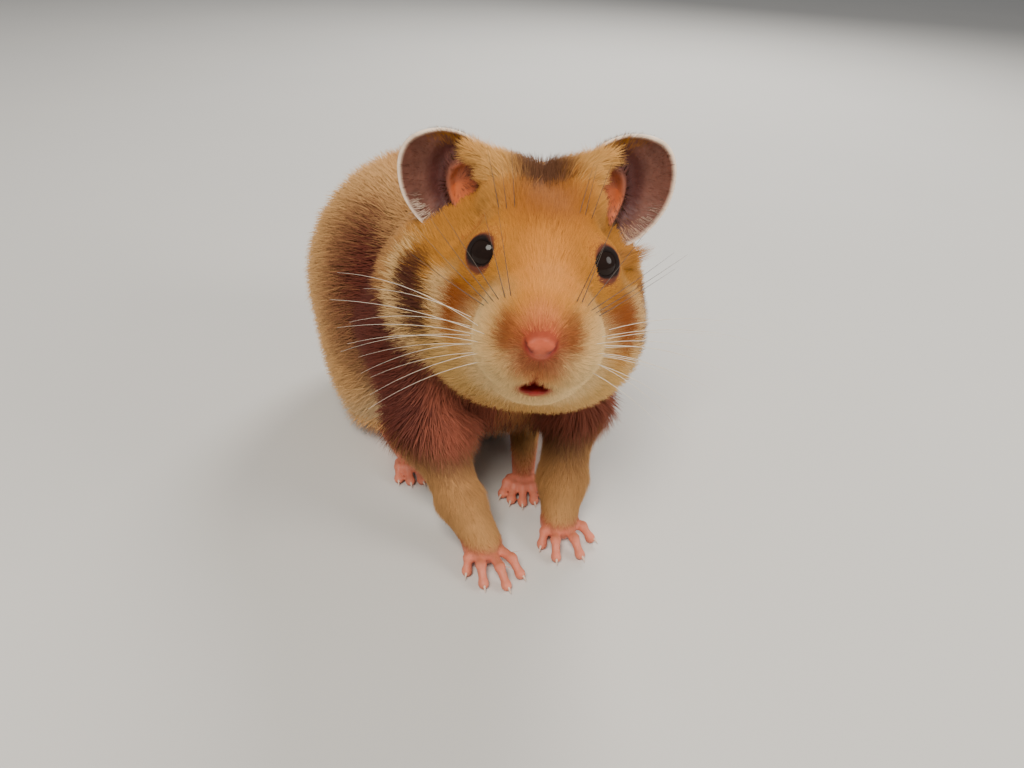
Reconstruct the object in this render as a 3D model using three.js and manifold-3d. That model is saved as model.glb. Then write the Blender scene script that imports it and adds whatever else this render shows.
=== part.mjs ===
// Syrian hamster, adult, life size, standing on straight forelegs with its hindquarters down.
// Millimetres, +Z up, floor at z = 0.  The animal faces -Y and its left side is +X.
// One signed field holds the outline out to the tips of the coat; each named piece is
// that outline between thin cuts, and the toes, claws, ears and tail are swept shells.
import * as THREE from "three";
import { mergeVertices } from "three/addons/utils/BufferGeometryUtils.js";
import Module from "manifold-3d";

const wasm = await Module();
wasm.setup();

// ---- driving dimensions -------------------------------------------------------------
const GAP = 0.3; // between neighbouring pieces
const FACET_SLACK = 0.35; // more than the facets of two nets over one surface differ by
const ORIGIN = [-2.538, 33.907, 0]; // modelling point that becomes x = 0, y = 0, z = 0
const EYE_LINE_HEIGHT = 56.5; // midpoint between the eyes above the floor
const HEAD_TURN = -18; // degrees about +Z: the muzzle points to the right side
const HEAD_TILT = 2.5; // degrees about the muzzle's own line
const HEAD_SWEEP = 0.055; // sideways drift of the nape per mm behind the eyes
const EYE_CENTRE = [7.9, -0.6, -0.2]; // in the head's frame, mirrored
const EYE_FACING = [0.702, -0.702, 0.12];
const EYE_RADIUS = 3.6;
const LID_RADIUS = 3.9;
const EAR_WIDTH = 9.2; // semi-axes of the cup the ear is cut from
const EAR_LENGTH = 11.8;
const EAR_DEPTH = 8.0;
const EAR_CUT = 4.2; // how far in front of its back the cup is open
const EAR_SHELL = 1.1; // thickness
const TOE_RADIUS = 1.05;
const CLAW_RADIUS = 0.32;
const TAIL_LENGTH = 13;

// cell sizes of the surface nets
const CELL_TRUNK = 5.3;
const CELL_NECK = 4.8;
const CELL_HEAD = 3.1;
const CELL_LEG = 3.0;
const CELL_PAW = 2.6;
const CELL_NOSE = 2.0;

// ---- small vector helpers ----------------------------------------------------------------
const add = (a, b, s = 1) => [a[0] + b[0] * s, a[1] + b[1] * s, a[2] + b[2] * s];
const sub = (a, b) => add(a, b, -1);
const dot = (a, b) => a[0] * b[0] + a[1] * b[1] + a[2] * b[2];
const cross = (a, b) => [
  a[1] * b[2] - a[2] * b[1],
  a[2] * b[0] - a[0] * b[2],
  a[0] * b[1] - a[1] * b[0],
];
const size = (a) => Math.hypot(a[0], a[1], a[2]);
const unit = (a) => a.map((v) => v / size(a));
const mirrored = (p) => [Math.abs(p[0]), p[1], p[2]];

// ---- field primitives ----------------------------------------------------------------------
function ball(p, centre, radii) {
  const q = sub(p, centre);
  const once = Math.hypot(q[0] / radii[0], q[1] / radii[1], q[2] / radii[2]);
  const twice = Math.hypot(
    q[0] / (radii[0] * radii[0]),
    q[1] / (radii[1] * radii[1]),
    q[2] / (radii[2] * radii[2]),
  );
  return (once * (once - 1)) / Math.max(twice, 1e-9);
}

function limb(p, a, b, ra, rb) {
  const d = sub(b, a);
  const h = Math.min(1, Math.max(0, dot(sub(p, a), d) / dot(d, d)));
  return size(sub(p, add(a, d, h))) - (ra + (rb - ra) * h);
}

function blend(a, b, k) {
  const h = Math.max(k - Math.abs(a - b), 0) / k;
  return Math.min(a, b) - h * h * k * 0.25;
}

const carve = (a, b, k) => -blend(-a, b, k);

// ---- the head's own frame: x to its left, y to the back, z up, eyes at the origin -------------
const headAxes = (() => {
  const t = THREE.MathUtils.degToRad(HEAD_TURN);
  const r = THREE.MathUtils.degToRad(HEAD_TILT);
  const m = new THREE.Matrix4().makeRotationZ(t);
  m.multiply(new THREE.Matrix4().makeRotationY(r));
  const e = m.elements;
  return [e.slice(0, 3), e.slice(4, 7), e.slice(8, 11)];
})();

function toHead(p) {
  const q = [p[0], p[1], p[2] - EYE_LINE_HEIGHT];
  const h = headAxes.map((axis) => dot(q, axis));
  h[0] += HEAD_SWEEP * Math.max(h[1], 0);
  return h;
}

function fromHead(h) {
  const x = h[0] - HEAD_SWEEP * Math.max(h[1], 0);
  const q = [0, 1, 2].map(
    (k) => x * headAxes[0][k] + h[1] * headAxes[1][k] + h[2] * headAxes[2][k],
  );
  return [q[0], q[1], q[2] + EYE_LINE_HEIGHT];
}

// Ears in the head's frame: centre and upward way of the cup, and the ridge of fur that joins
// the crown to the ear's inner edge.
const EARS = {
  right: {
    centre: [-14.9, 11.2, 5.1],
    up: [-0.68, 0.1, 0.74],
    ridge: [[-3.6, 12.5, 7.9], [-11.6, 11, 11.6], 2.6, 1.9],
  },
  left: {
    centre: [13.4, 12, 6.6],
    up: [0.55, 0.16, 0.86],
    ridge: [[3.6, 13, 8.4], [9.6, 12.4, 12.4], 2.6, 1.8],
  },
};

// The fuller right cheek and the ruffs of longer fur round the neck, in the head's frame.
const FULL_CHEEK = { centre: [-12, 8, -13], radii: [10.5, 9, 11.5] };
const SIDE_RUFF = { centre: [-14.5, 14.5, -15.5], radii: [11, 9, 11] };
const THROAT_RUFF = { centre: [0, 2.5, -18.8], radii: [12.5, 10, 8.8] };

// A hollow of the temple before each ear, mirrored.
const TEMPLE_HOLLOW = { centre: [16.9, 4.7, 7.5], radii: [8, 8, 8] };

// ---- the outline, less the hind feet -------------------------------------------------------
function headField(p) {
  const h = toHead(p);
  const s = mirrored(h);
  let d = ball(h, [0, 13.5, -3.2], [13.2, 16.5, 12.2]); // cranium
  d = blend(d, ball(h, [0, 1, -3], [8.4, 11, 8.8]), 5); // brow
  d = blend(d, ball(h, [0, 5, -2.8], [9.6, 10.5, 9.6]), 6); // forehead
  d = blend(d, limb(h, [0, -3, -4.8], [0, -14, -5.2], 8.4, 6.4), 5); // muzzle
  d = blend(d, limb(h, [0, -13, -4.2], [0, -19.8, -3.3], 5.4, 2.7), 4); // nose
  d = blend(d, ball(s, [4.7, -13.2, -7.5], [4.8, 6.2, 5.4]), 4); // whisker pad
  d = blend(d, ball(s, [8.6, 3.5, -12], [9.2, 11.5, 9.4]), 6); // cheek
  d = blend(d, ball(s, [7.9, 12, -10.5], [10.8, 11, 12]), 7); // jowl
  d = blend(d, ball(s, [6.9, 3, -15.6], [9.2, 11, 8.8]), 6); // lower cheek
  d = blend(d, limb(h, [0, -10.2, -13.2], [0, 4, -15.5], 5.9, 9.5), 5); // lower jaw
  d = blend(d, ball(h, THROAT_RUFF.centre, THROAT_RUFF.radii), 6);
  d = blend(d, ball(h, FULL_CHEEK.centre, FULL_CHEEK.radii), 6);
  d = blend(d, ball(h, SIDE_RUFF.centre, SIDE_RUFF.radii), 6);
  d = carve(d, ball(s, TEMPLE_HOLLOW.centre, TEMPLE_HOLLOW.radii), 5);
  for (const side of SIDES) d = blend(d, limb(h, ...EARS[side].ridge), 3);
  d = blend(d, ball(s, add(EYE_CENTRE, EYE_FACING, -0.2), [3.9, 4.1, 3.9]), 2.5);
  return carve(d, ball(s, add(EYE_CENTRE, EYE_FACING, 3.6), [3.5, 3.5, 3.3]), 1.2);
}

function trunkField(p) {
  let d = ball(p, [-4, 56, 28.2], [29, 28, 28]); // rump
  d = blend(d, ball(p, [-2.5, 39, 28], [28, 24, 26.5]), 10); // belly
  d = blend(d, ball(p, [-0.5, 22, 35], [22, 17, 21]), 10); // chest
  d = blend(d, ball(p, [0.5, 16, 44], [18.5, 14, 16]), 8); // throat
  return blend(d, ball(p, [1, 30, 45], [17, 15, 14.5]), 10); // nape
}

const FORELEGS = {
  right: {
    shoulder: [-13.5, 24, 34],
    elbow: [-15.5, 11.5, 19.5],
    wrist: [-12.6, 1, 10],
    palm: [-9.6, -5, 2.2],
    radii: [11, 6.9, 3.9],
  },
  left: {
    shoulder: [13, 24, 34],
    elbow: [12.5, 12, 20],
    wrist: [8, 2.5, 10],
    palm: [6.2, -2.2, 2.2],
    radii: [11, 6.5, 4.3],
  },
};

const HAUNCHES = {
  right: { centre: [-21, 45, 17], radii: [10, 17, 15] },
  left: { centre: [16, 42, 17], radii: [12, 18, 15] },
};

const HINDFEET = {
  right: { heel: [-20.5, 39, 4.2], ball: [-17.5, 24, 2.2], radii: [3.6, 2.5] },
  left: { heel: [9.5, 31, 6.0], ball: [3.6, 12.5, 2.2], radii: [3.8, 2.5] },
};

const SIDES = ["right", "left"];

function limbsField(p) {
  let d = 1e9;
  for (const side of SIDES) {
    const leg = FORELEGS[side];
    const [ra, rb, rc] = leg.radii;
    let one = limb(p, leg.shoulder, leg.elbow, ra, rb);
    one = blend(one, limb(p, leg.elbow, leg.wrist, rb - 0.2, rc), 4);
    one = blend(one, limb(p, leg.wrist, add(leg.palm, [0, 0, 1.7]), rc - 0.1, 3.4), 3);
    one = blend(one, ball(p, leg.palm, [3.5, 3.6, 2.7]), 1.2);
    d = Math.min(d, one);
  }
  return d;
}

function haunchField(p) {
  const [one, two] = SIDES.map((side) => ball(p, HAUNCHES[side].centre, HAUNCHES[side].radii));
  return Math.min(one, two);
}

function outline(p) {
  let d = blend(trunkField(p), headField(p), 7);
  d = blend(d, limbsField(p), 4);
  return blend(d, haunchField(p), 5);
}

// ---- surface nets: a closed faceted skin of a field inside a box ---------------------------
const CORNERS = [0, 1, 2, 3, 4, 5, 6, 7].map((c) => [c & 1, (c >> 1) & 1, (c >> 2) & 1]);

function skinOf(field, lo, hi, cell) {
  const n = lo.map((v, k) => Math.ceil((hi[k] - v) / cell));
  const at = (i, j, k) => [lo[0] + i * cell, lo[1] + j * cell, lo[2] + k * cell];
  const slot = (i, j, k) => (k * (n[1] + 1) + j) * (n[0] + 1) + i;
  const value = new Float64Array((n[0] + 1) * (n[1] + 1) * (n[2] + 1));
  for (let k = 0; k <= n[2]; k++)
    for (let j = 0; j <= n[1]; j++)
      for (let i = 0; i <= n[0]; i++) {
        const rim = i * j * k === 0 || i === n[0] || j === n[1] || k === n[2];
        const d = field(at(i, j, k));
        value[slot(i, j, k)] = rim ? Math.max(d, 0.05) : d || 1e-6;
      }
  const points = [];
  const owner = new Map();
  for (let k = 0; k < n[2]; k++)
    for (let j = 0; j < n[1]; j++)
      for (let i = 0; i < n[0]; i++) {
        const v = CORNERS.map((c) => value[slot(i + c[0], j + c[1], k + c[2])]);
        const inside = v.filter((d) => d < 0).length;
        if (inside === 0 || inside === 8) continue;
        owner.set(slot(i, j, k), points.length / 3);
        points.push(...onSurface(field, crossing(v, at(i, j, k), cell), cell));
      }
  const faces = [];
  const quad = (a, b, c, d, flip) => {
    const [q0, q1, q2, q3] = [a, b, c, d].map((s) => owner.get(s));
    if (flip) faces.push(q0, q2, q1, q0, q3, q2);
    else faces.push(q0, q1, q2, q0, q2, q3);
  };
  for (let k = 0; k < n[2]; k++)
    for (let j = 0; j < n[1]; j++)
      for (let i = 0; i < n[0]; i++) {
        const here = value[slot(i, j, k)] < 0;
        if (j * k > 0 && here !== value[slot(i + 1, j, k)] < 0)
          quad(slot(i, j - 1, k - 1), slot(i, j, k - 1), slot(i, j, k), slot(i, j - 1, k), !here);
        if (i * k > 0 && here !== value[slot(i, j + 1, k)] < 0)
          quad(slot(i - 1, j, k - 1), slot(i - 1, j, k), slot(i, j, k), slot(i, j, k - 1), !here);
        if (i * j > 0 && here !== value[slot(i, j, k + 1)] < 0)
          quad(slot(i - 1, j - 1, k), slot(i, j - 1, k), slot(i, j, k), slot(i - 1, j, k), !here);
      }
  return solidOf(new Float32Array(points), new Uint32Array(faces));
}

// Mean of the places where the cell's edges meet the surface.
function crossing(v, corner, cell) {
  const sum = [0, 0, 0];
  let count = 0;
  for (let a = 0; a < 8; a++)
    for (const axis of [0, 1, 2]) {
      const b = a | (1 << axis);
      if (b === a || v[a] < 0 === v[b] < 0) continue;
      const t = v[a] / (v[a] - v[b]);
      for (const k of [0, 1, 2]) sum[k] += CORNERS[a][k] + (CORNERS[b][k] - CORNERS[a][k]) * t;
      count++;
    }
  return sum.map((s, k) => corner[k] + (s / count) * cell);
}

// Moves a net point along the field's slope until it lies on the surface.
function onSurface(field, start, cell) {
  let p = start;
  const e = 0.02;
  for (let step = 0; step < 3; step++) {
    const d = field(p);
    const slope = [0, 1, 2].map((k) => {
      const q = [...p];
      q[k] += e;
      return (field(q) - d) / e;
    });
    const s2 = Math.max(dot(slope, slope), 0.2);
    const reach = Math.max(-0.4 * cell, Math.min(0.4 * cell, d / s2));
    p = add(p, slope, -reach);
  }
  return size(sub(p, start)) < 0.6 * cell ? p : start;
}

// ---- solids: manifold-3d only joins and cuts ----------------------------------------------
function solidOf(positions, triangles) {
  const mesh = new wasm.Mesh({
    numProp: 3,
    vertProperties: positions,
    triVerts: triangles,
  });
  return new wasm.Manifold(mesh);
}

function solidFrom(geometry, matrix = new THREE.Matrix4()) {
  const bare = new THREE.BufferGeometry();
  bare.setAttribute("position", geometry.getAttribute("position"));
  bare.setIndex(geometry.index);
  bare.applyMatrix4(matrix);
  const merged = mergeVertices(bare, 1e-4);
  const index = [];
  const source = merged.index.array;
  for (let i = 0; i < source.length; i += 3) {
    const [a, b, c] = [source[i], source[i + 1], source[i + 2]];
    if (a !== b && b !== c && c !== a) index.push(a, b, c);
  }
  return solidOf(merged.attributes.position.array, new Uint32Array(index));
}

// Everything on the side of a plane that its normal points to.
function beyond(point, normal) {
  const reach = 260;
  const turn = new THREE.Quaternion().setFromUnitVectors(
    new THREE.Vector3(0, 0, 1),
    new THREE.Vector3(...unit(normal)),
  );
  const centre = add(point, unit(normal), reach / 2);
  const matrix = new THREE.Matrix4().compose(
    new THREE.Vector3(...centre),
    turn,
    new THREE.Vector3(1, 1, 1),
  );
  return solidFrom(new THREE.BoxGeometry(reach, reach, reach), matrix);
}

function block(lo, hi) {
  const s = sub(hi, lo);
  const c = add(lo, s, 0.5);
  return solidFrom(new THREE.BoxGeometry(...s), new THREE.Matrix4().makeTranslation(...c));
}

function egg(centre, radii, around, rings) {
  const matrix = new THREE.Matrix4().makeTranslation(...centre);
  matrix.scale(new THREE.Vector3(...radii));
  return solidFrom(new THREE.SphereGeometry(1, around, rings), matrix);
}

// A closed tube along a line of points, with its own radius at each point.
function sweep(path, radii, sides) {
  const points = [];
  const faces = [];
  const last = path.length - 1;
  path.forEach((p, i) => {
    const along = unit(sub(path[Math.min(i + 1, last)], path[Math.max(i - 1, 0)]));
    const u = unit(cross(along, Math.abs(along[2]) > 0.8 ? [0, 1, 0] : [0, 0, 1]));
    const v = cross(along, u);
    for (let s = 0; s < sides; s++) {
      const a = (2 * Math.PI * s) / sides;
      points.push(...add(add(p, u, Math.cos(a) * radii[i]), v, Math.sin(a) * radii[i]));
    }
  });
  for (let i = 0; i < last; i++)
    for (let s = 0; s < sides; s++) {
      const t = (s + 1) % sides;
      const [a, b] = [i * sides + s, i * sides + t];
      faces.push(a, b, b + sides, a, b + sides, a + sides);
    }
  for (let s = 1; s < sides - 1; s++) {
    faces.push(0, s + 1, s);
    faces.push(last * sides, last * sides + s, last * sides + s + 1);
  }
  const made = solidOf(new Float32Array(points), new Uint32Array(faces));
  return made;
}

// ---- toes with their claws ------------------------------------------------------------------
const TOES = {
  right: [
    [[-11.2, -4.8, 3.0], [-12.7, -7.2, 2.7], [-13.3, -8.6, 0.7]],
    [[-10.4, -6.2, 3.2], [-11.0, -9.6, 2.8], [-11.2, -12.2, 0.7]],
    [[-8.6, -6.6, 3.2], [-7.9, -10.8, 2.8], [-7.4, -13.6, 0.7]],
    [[-7.6, -5.6, 3.0], [-5.2, -9.2, 2.7], [-4.3, -11.6, 0.7]],
  ],
  left: [
    [[4.9, -2.4, 3.0], [2.7, -4.0, 2.7], [1.8, -5.4, 0.7]],
    [[5.1, -3.2, 3.2], [3.9, -6.8, 2.8], [3.3, -9.2, 0.7]],
    [[6.8, -3.2, 3.2], [7.4, -7.2, 2.8], [7.8, -9.6, 0.7]],
    [[7.7, -2.4, 3.0], [10.1, -4.4, 2.7], [11.2, -6.0, 0.7]],
  ],
};

function toe(knuckle, joint, tip) {
  const r = TOE_RADIUS;
  const ahead = unit([tip[0] - joint[0], tip[1] - joint[1], 0]);
  const claw = add(add(tip, ahead, 0.9), [0, 0, 1], 0.15);
  const point = add(add(tip, ahead, 2.5), [0, 0, 1], -0.5);
  return sweep([knuckle, joint, tip, claw, point], [r, r * 0.97, r * 0.9, CLAW_RADIUS, 0.12], 6);
}

function hindToes(foot) {
  const f = unit([foot.ball[0] - foot.heel[0], foot.ball[1] - foot.heel[1], 0]);
  const side = [-f[1], f[0], 0];
  const lengths = [4.2, 5.4, 5.8, 5.3, 4.0];
  return lengths.map((length, i) => {
    const k = i - 2;
    const a = THREE.MathUtils.degToRad(k * 11);
    const way = add([f[0] * Math.cos(a), f[1] * Math.cos(a), 0], side, Math.sin(a));
    const root = add(add(foot.ball, side, k * 1.25), f, 0.4 - 0.25 * Math.abs(k));
    const tip = add(root, way, length);
    tip[2] = 0.7;
    const joint = add(root, way, length * 0.5);
    joint[2] = 2.3;
    return toe(root, joint, tip);
  });
}

// ---- ears: a thin cup open to the front --------------------------------------------------
function earShell(ear) {
  const up = unit(ear.up);
  const face = [0.28 * Math.sign(ear.centre[0]), -0.93, 0.1];
  const open = unit(add(face, up, -dot(face, up)));
  const wide = cross(up, open);
  const steps = 4;
  const around = 18;
  const limit = Math.acos(EAR_CUT / EAR_DEPTH);
  const points = [];
  const faces = [];
  const put = (angle, turn, scale) => {
    const w = EAR_WIDTH * scale * Math.sin(angle) * Math.cos(turn);
    const a = EAR_LENGTH * scale * Math.sin(angle) * Math.sin(turn);
    const o = 4 - EAR_DEPTH * scale * Math.cos(angle);
    const h = add(add(add(ear.centre, wide, w), up, a), open, o);
    points.push(...fromHead(h));
  };
  const thick = EAR_SHELL / 2 / EAR_DEPTH;
  const rings = [];
  for (let i = 1; i <= steps; i++) rings.push([(limit * i) / steps, 1 + thick]);
  for (let i = steps; i >= 1; i--) rings.push([(limit * i) / steps, 1 - thick]);
  put(0, 0, 1 + thick);
  for (const [angle, scale] of rings)
    for (let s = 0; s < around; s++) put(angle, (2 * Math.PI * s) / around, scale);
  put(0, 0, 1 - thick);
  const ring = (i, s) => 1 + i * around + (s % around);
  const end = 1 + rings.length * around;
  for (let s = 0; s < around; s++) {
    faces.push(0, ring(0, s + 1), ring(0, s));
    faces.push(end, ring(rings.length - 1, s), ring(rings.length - 1, s + 1));
    for (let i = 0; i < rings.length - 1; i++) {
      faces.push(ring(i, s), ring(i, s + 1), ring(i + 1, s + 1));
      faces.push(ring(i, s), ring(i + 1, s + 1), ring(i + 1, s));
    }
  }
  return solidOf(new Float32Array(points), new Uint32Array(faces));
}

// ---- where the cuts lie ------------------------------------------------------------------
const NOSE = { centre: [0, -21, -3.2], radii: [3.6, 4.0, 3.2] }; // in the head's frame
const NECK_FRONT = { point: [0, 19.5, 58], normal: [0.06, 0.76, -0.65] };
const NECK_DEPTH = 8;
const ELBOW_CUT = { centre: [0, 22, 35], normal: [0, -0.75, -0.66], depth: 19.4 };
const PAW_CUT = 7.6; // height of the wrist seam

const floor = beyond([0, 0, 0], [0, 0, 1]);
const nosePoint = fromHead(NOSE.centre);
const neckNormal = unit(NECK_FRONT.normal);
const elbowNormal = unit(ELBOW_CUT.normal);

const elbowSpace = (slack) => {
  const point = add(ELBOW_CUT.centre, elbowNormal, ELBOW_CUT.depth - slack);
  const reach = block([-40, -20, 9], [40, 30, 26]).add(block([-40, -20, -9], [40, 10, 26]));
  const chest = block([-6.5 + slack, -20, 13 + slack], [3.5 - slack, 30, 30]);
  return beyond(point, elbowNormal).intersect(reach).subtract(chest);
};
const pawSpace = (slack) => block([-40, -40, -9], [40, 40, PAW_CUT + slack]);
const haunchSpace = (side, slack) => {
  const { centre, radii } = HAUNCHES[side];
  const out = side === "left" ? 5 : -5;
  return egg(add(centre, [out, 0, 0]), add(radii, [1, 1, 1], 1 + slack), 16, 10);
};
const noseSpace = (slack) => egg(nosePoint, add(NOSE.radii, [1, 1, 1], slack), 14, 8);
const behindHead = (slack) => beyond(add(NECK_FRONT.point, neckNormal, slack), neckNormal);

// ---- pieces -----------------------------------------------------------------------------------
const headSkin = skinOf(outline, [-27, -27, 27], [25, 34, 76], CELL_HEAD);
const eyeballs = SIDES.map((side) => {
  const x = side === "left" ? EYE_CENTRE[0] : -EYE_CENTRE[0];
  const at = fromHead([x, EYE_CENTRE[1], EYE_CENTRE[2]]);
  return {
    side,
    ball: egg(at, [EYE_RADIUS, EYE_RADIUS, EYE_RADIUS], 14, 9),
    socket: egg(at, [LID_RADIUS, LID_RADIUS, LID_RADIUS], 14, 9),
  };
});

const pieces = {};
pieces.head = headSkin.subtract(behindHead(0)).subtract(noseSpace(GAP));
for (const eye of eyeballs) {
  pieces.head = pieces.head.subtract(eye.socket);
  pieces["eye_" + eye.side] = eye.ball;
}

const noseSkin = skinOf(outline, add(nosePoint, [-9, -9, -9]), add(nosePoint, [9, 9, 9]), CELL_NOSE);
pieces.nose = noseSkin.intersect(noseSpace(0));

pieces.neck = skinOf(outline, [-34, -12, 12], [34, 62, 74], CELL_NECK)
  .intersect(behindHead(GAP))
  .subtract(behindHead(NECK_DEPTH));

const swollenHead = skinOf((p) => outline(p) - GAP - FACET_SLACK, [-27, -27, 27], [25, 40, 76], CELL_HEAD);
for (const side of SIDES) pieces["ear_" + side] = earShell(EARS[side]).subtract(swollenHead);

const legSkin = skinOf(outline, [-30, -18, 1], [30, 26, 33], CELL_LEG).intersect(elbowSpace(0));
const pawSkin = skinOf(outline, [-20, -16, -4], [18, 12, 14], CELL_PAW).intersect(elbowSpace(0));
const halves = {
  right: block([-60, -60, -20], [-2.2, 90, 90]),
  left: block([-2.2, -60, -20], [60, 90, 90]),
};
for (const side of SIDES) {
  pieces["foreleg_" + side] = legSkin.subtract(pawSpace(GAP)).intersect(halves[side]);
  let paw = pawSkin.intersect(pawSpace(0)).intersect(halves[side]);
  for (const [knuckle, joint, tip] of TOES[side]) paw = paw.add(toe(knuckle, joint, tip));
  pieces["forepaw_" + side] = paw.intersect(floor);
}

const BODY_BOX = [
  [-38, -2, -6],
  [36, 90, 74],
];
const swollenBody = skinOf((p) => outline(p) - GAP - 0.1, ...BODY_BOX, CELL_TRUNK);
for (const side of SIDES) {
  const { heel, ball: front, radii } = HINDFEET[side];
  const low = [front[0] - 6, front[1] - 6, -4];
  const high = [heel[0] + 8, heel[1] + 8, 13];
  let foot = skinOf((p) => limb(p, heel, front, ...radii), low, high, CELL_PAW);
  for (const one of hindToes(HINDFEET[side])) foot = foot.add(one);
  pieces["hindfoot_" + side] = foot.subtract(swollenBody).intersect(floor);
}

const bodySkin = skinOf(outline, ...BODY_BOX, CELL_TRUNK)
  .intersect(behindHead(NECK_DEPTH + GAP))
  .subtract(elbowSpace(GAP))
  .intersect(floor);
for (const side of SIDES) {
  pieces["haunch_" + side] = bodySkin.intersect(haunchSpace(side, 0));
}
pieces.trunk = SIDES.reduce((rest, side) => rest.subtract(haunchSpace(side, GAP)), bodySkin);

const tailRoot = [-5, 77, 12];
const tailWay = unit([-0.12, 0.94, -0.32]);
const tailPath = [-4, 0, 0.35 * TAIL_LENGTH, 0.72 * TAIL_LENGTH, TAIL_LENGTH].map((s) =>
  add(tailRoot, tailWay, s),
);
pieces.tail = sweep(tailPath, [3.4, 3.2, 2.4, 1.6, 0.6], 10).subtract(swollenBody);

// ---- colours --------------------------------------------------------------------------------
const LOOK = {
  head: [0xc98f52, 0.7],
  nose: [0xe0a79b, 0.55],
  neck: [0xb9783f, 0.9],
  trunk: [0xb98450, 0.9],
  tail: [0xd9b9a0, 0.8],
  haunch: [0xc08a55, 0.9],
  foreleg: [0xe3cba8, 0.7],
  forepaw: [0xe7b8a6, 0.7],
  hindfoot: [0xe7b8a6, 0.7],
  ear: [0x8a6a62, 0.7],
  eye: [0x14100e, 0.08],
};

const hamster = new THREE.Group();
hamster.name = "syrian_hamster";
for (const [name, solid] of Object.entries(pieces)) {
  const { vertProperties, triVerts } = solid.getMesh();
  const geometry = new THREE.BufferGeometry();
  geometry.setAttribute("position", new THREE.BufferAttribute(Float32Array.from(vertProperties), 3));
  geometry.setIndex(new THREE.BufferAttribute(Uint32Array.from(triVerts), 1));
  geometry.translate(-ORIGIN[0], -ORIGIN[1], -ORIGIN[2]);
  const [colour, roughness] = LOOK[name.split("_")[0]];
  const material = new THREE.MeshStandardMaterial({ color: colour, roughness, metalness: 0 });
  material.name = name;
  const mesh = new THREE.Mesh(geometry, material);
  mesh.name = name;
  hamster.add(mesh);
}

export default hamster;
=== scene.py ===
"""Golden Syrian hamster, life size: one skin, its coat in fine solid tufts, eyes, ears,
whiskers and claws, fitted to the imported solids.  Shapes are worked out in millimetres in the
modelling frame of the solids and moved to the frame's metres when a mesh is made."""
import math

import bpy
import numpy as np
from mathutils import Matrix, Vector


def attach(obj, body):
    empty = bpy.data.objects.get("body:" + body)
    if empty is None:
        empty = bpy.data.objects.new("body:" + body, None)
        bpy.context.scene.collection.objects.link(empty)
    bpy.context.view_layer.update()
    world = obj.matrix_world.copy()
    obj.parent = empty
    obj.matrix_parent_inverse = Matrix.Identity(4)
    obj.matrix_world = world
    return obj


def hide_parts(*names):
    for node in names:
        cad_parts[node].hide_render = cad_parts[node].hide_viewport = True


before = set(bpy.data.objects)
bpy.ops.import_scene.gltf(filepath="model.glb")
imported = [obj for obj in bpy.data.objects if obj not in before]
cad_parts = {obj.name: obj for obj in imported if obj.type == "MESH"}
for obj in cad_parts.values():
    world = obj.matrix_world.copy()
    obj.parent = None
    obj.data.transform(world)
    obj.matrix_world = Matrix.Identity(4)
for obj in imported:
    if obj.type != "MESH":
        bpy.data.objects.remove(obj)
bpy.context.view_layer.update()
random = np.random.default_rng(41)

# ---- named sizes, as in the solids ----
ORIGIN = np.array([-2.538, 33.907, 0.0])
EYE_LINE_HEIGHT = 56.5
HEAD_TURN = -18.0
HEAD_TILT = 2.5
HEAD_SWEEP = 0.055  # sideways bend of the head's back, for each millimetre back
EYE_CENTRE = np.array([7.9, -0.6, -0.2])
EYE_RADIUS = 3.6
EAR_WIDTH, EAR_LENGTH, EAR_DEPTH, EAR_CUT = 9.2, 11.8, 8.0, 4.2
EAR_LIMIT = math.acos(EAR_CUT / EAR_DEPTH)  # angle from the back of the cup to its rim
EARS = {
    "right": (np.array([-14.9, 11.2, 5.1]), np.array([-0.68, 0.1, 0.74])),
    "left": (np.array([13.4, 12.0, 6.6]), np.array([0.55, 0.16, 0.86])),
}
EAR_RIDGES = {
    "right": ((-3.6, 12.5, 7.9), (-11.6, 11, 11.6), 2.6, 1.9),
    "left": ((3.6, 13, 8.4), (9.6, 12.4, 12.4), 2.6, 1.8),
}
FULL_CHEEK = ((-12, 8, -13), (10.5, 9, 11.5))
SIDE_RUFF = ((-14.5, 14.5, -15.5), (11, 9, 11))
THROAT_RUFF = ((0, 2.5, -18.8), (12.5, 10, 8.8))
TEMPLE_HOLLOW = ((16.9, 4.7, 7.5), (8, 8, 8))
FORELEGS = {
    "right": ((-13.5, 24, 34), (-15.5, 11.5, 19.5), (-12.6, 1, 10), (-9.6, -5, 2.2), (11, 6.9, 3.9)),
    "left": ((13, 24, 34), (12.5, 12, 20), (8, 2.5, 10), (6.2, -2.2, 2.2), (11, 6.5, 4.3)),
}
HAUNCHES = {"right": ((-21, 45, 17), (10, 17, 15)), "left": ((16, 42, 17), (12, 18, 15))}
HINDFEET = {
    "right": ((-20.5, 39, 4.2), (-17.5, 24, 2.2), (3.6, 2.5)),
    "left": ((9.5, 31, 6.0), (3.6, 12.5, 2.2), (3.8, 2.5)),
}
TOES = {
    "right": [
        ((-11.2, -4.8, 3.0), (-12.7, -7.2, 2.7), (-13.3, -8.6, 0.95)),
        ((-10.4, -6.2, 3.2), (-11.0, -9.6, 2.8), (-11.2, -12.2, 0.95)),
        ((-8.6, -6.6, 3.2), (-7.9, -10.8, 2.8), (-7.4, -13.6, 0.95)),
        ((-7.6, -5.6, 3.0), (-5.2, -9.2, 2.7), (-4.3, -11.6, 0.95)),
    ],
    "left": [
        ((4.9, -2.4, 3.0), (2.7, -4.0, 2.7), (1.8, -5.4, 0.95)),
        ((5.1, -3.2, 3.2), (3.9, -6.8, 2.8), (3.3, -9.2, 0.95)),
        ((6.8, -3.2, 3.2), (7.4, -7.2, 2.8), (7.8, -9.6, 0.95)),
        ((7.7, -2.4, 3.0), (10.1, -4.4, 2.7), (11.2, -6.0, 0.95)),
    ],
}
SIDES = ("right", "left")
NECK_POINT = np.array([0.0, 19.5, 58.0])
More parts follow.
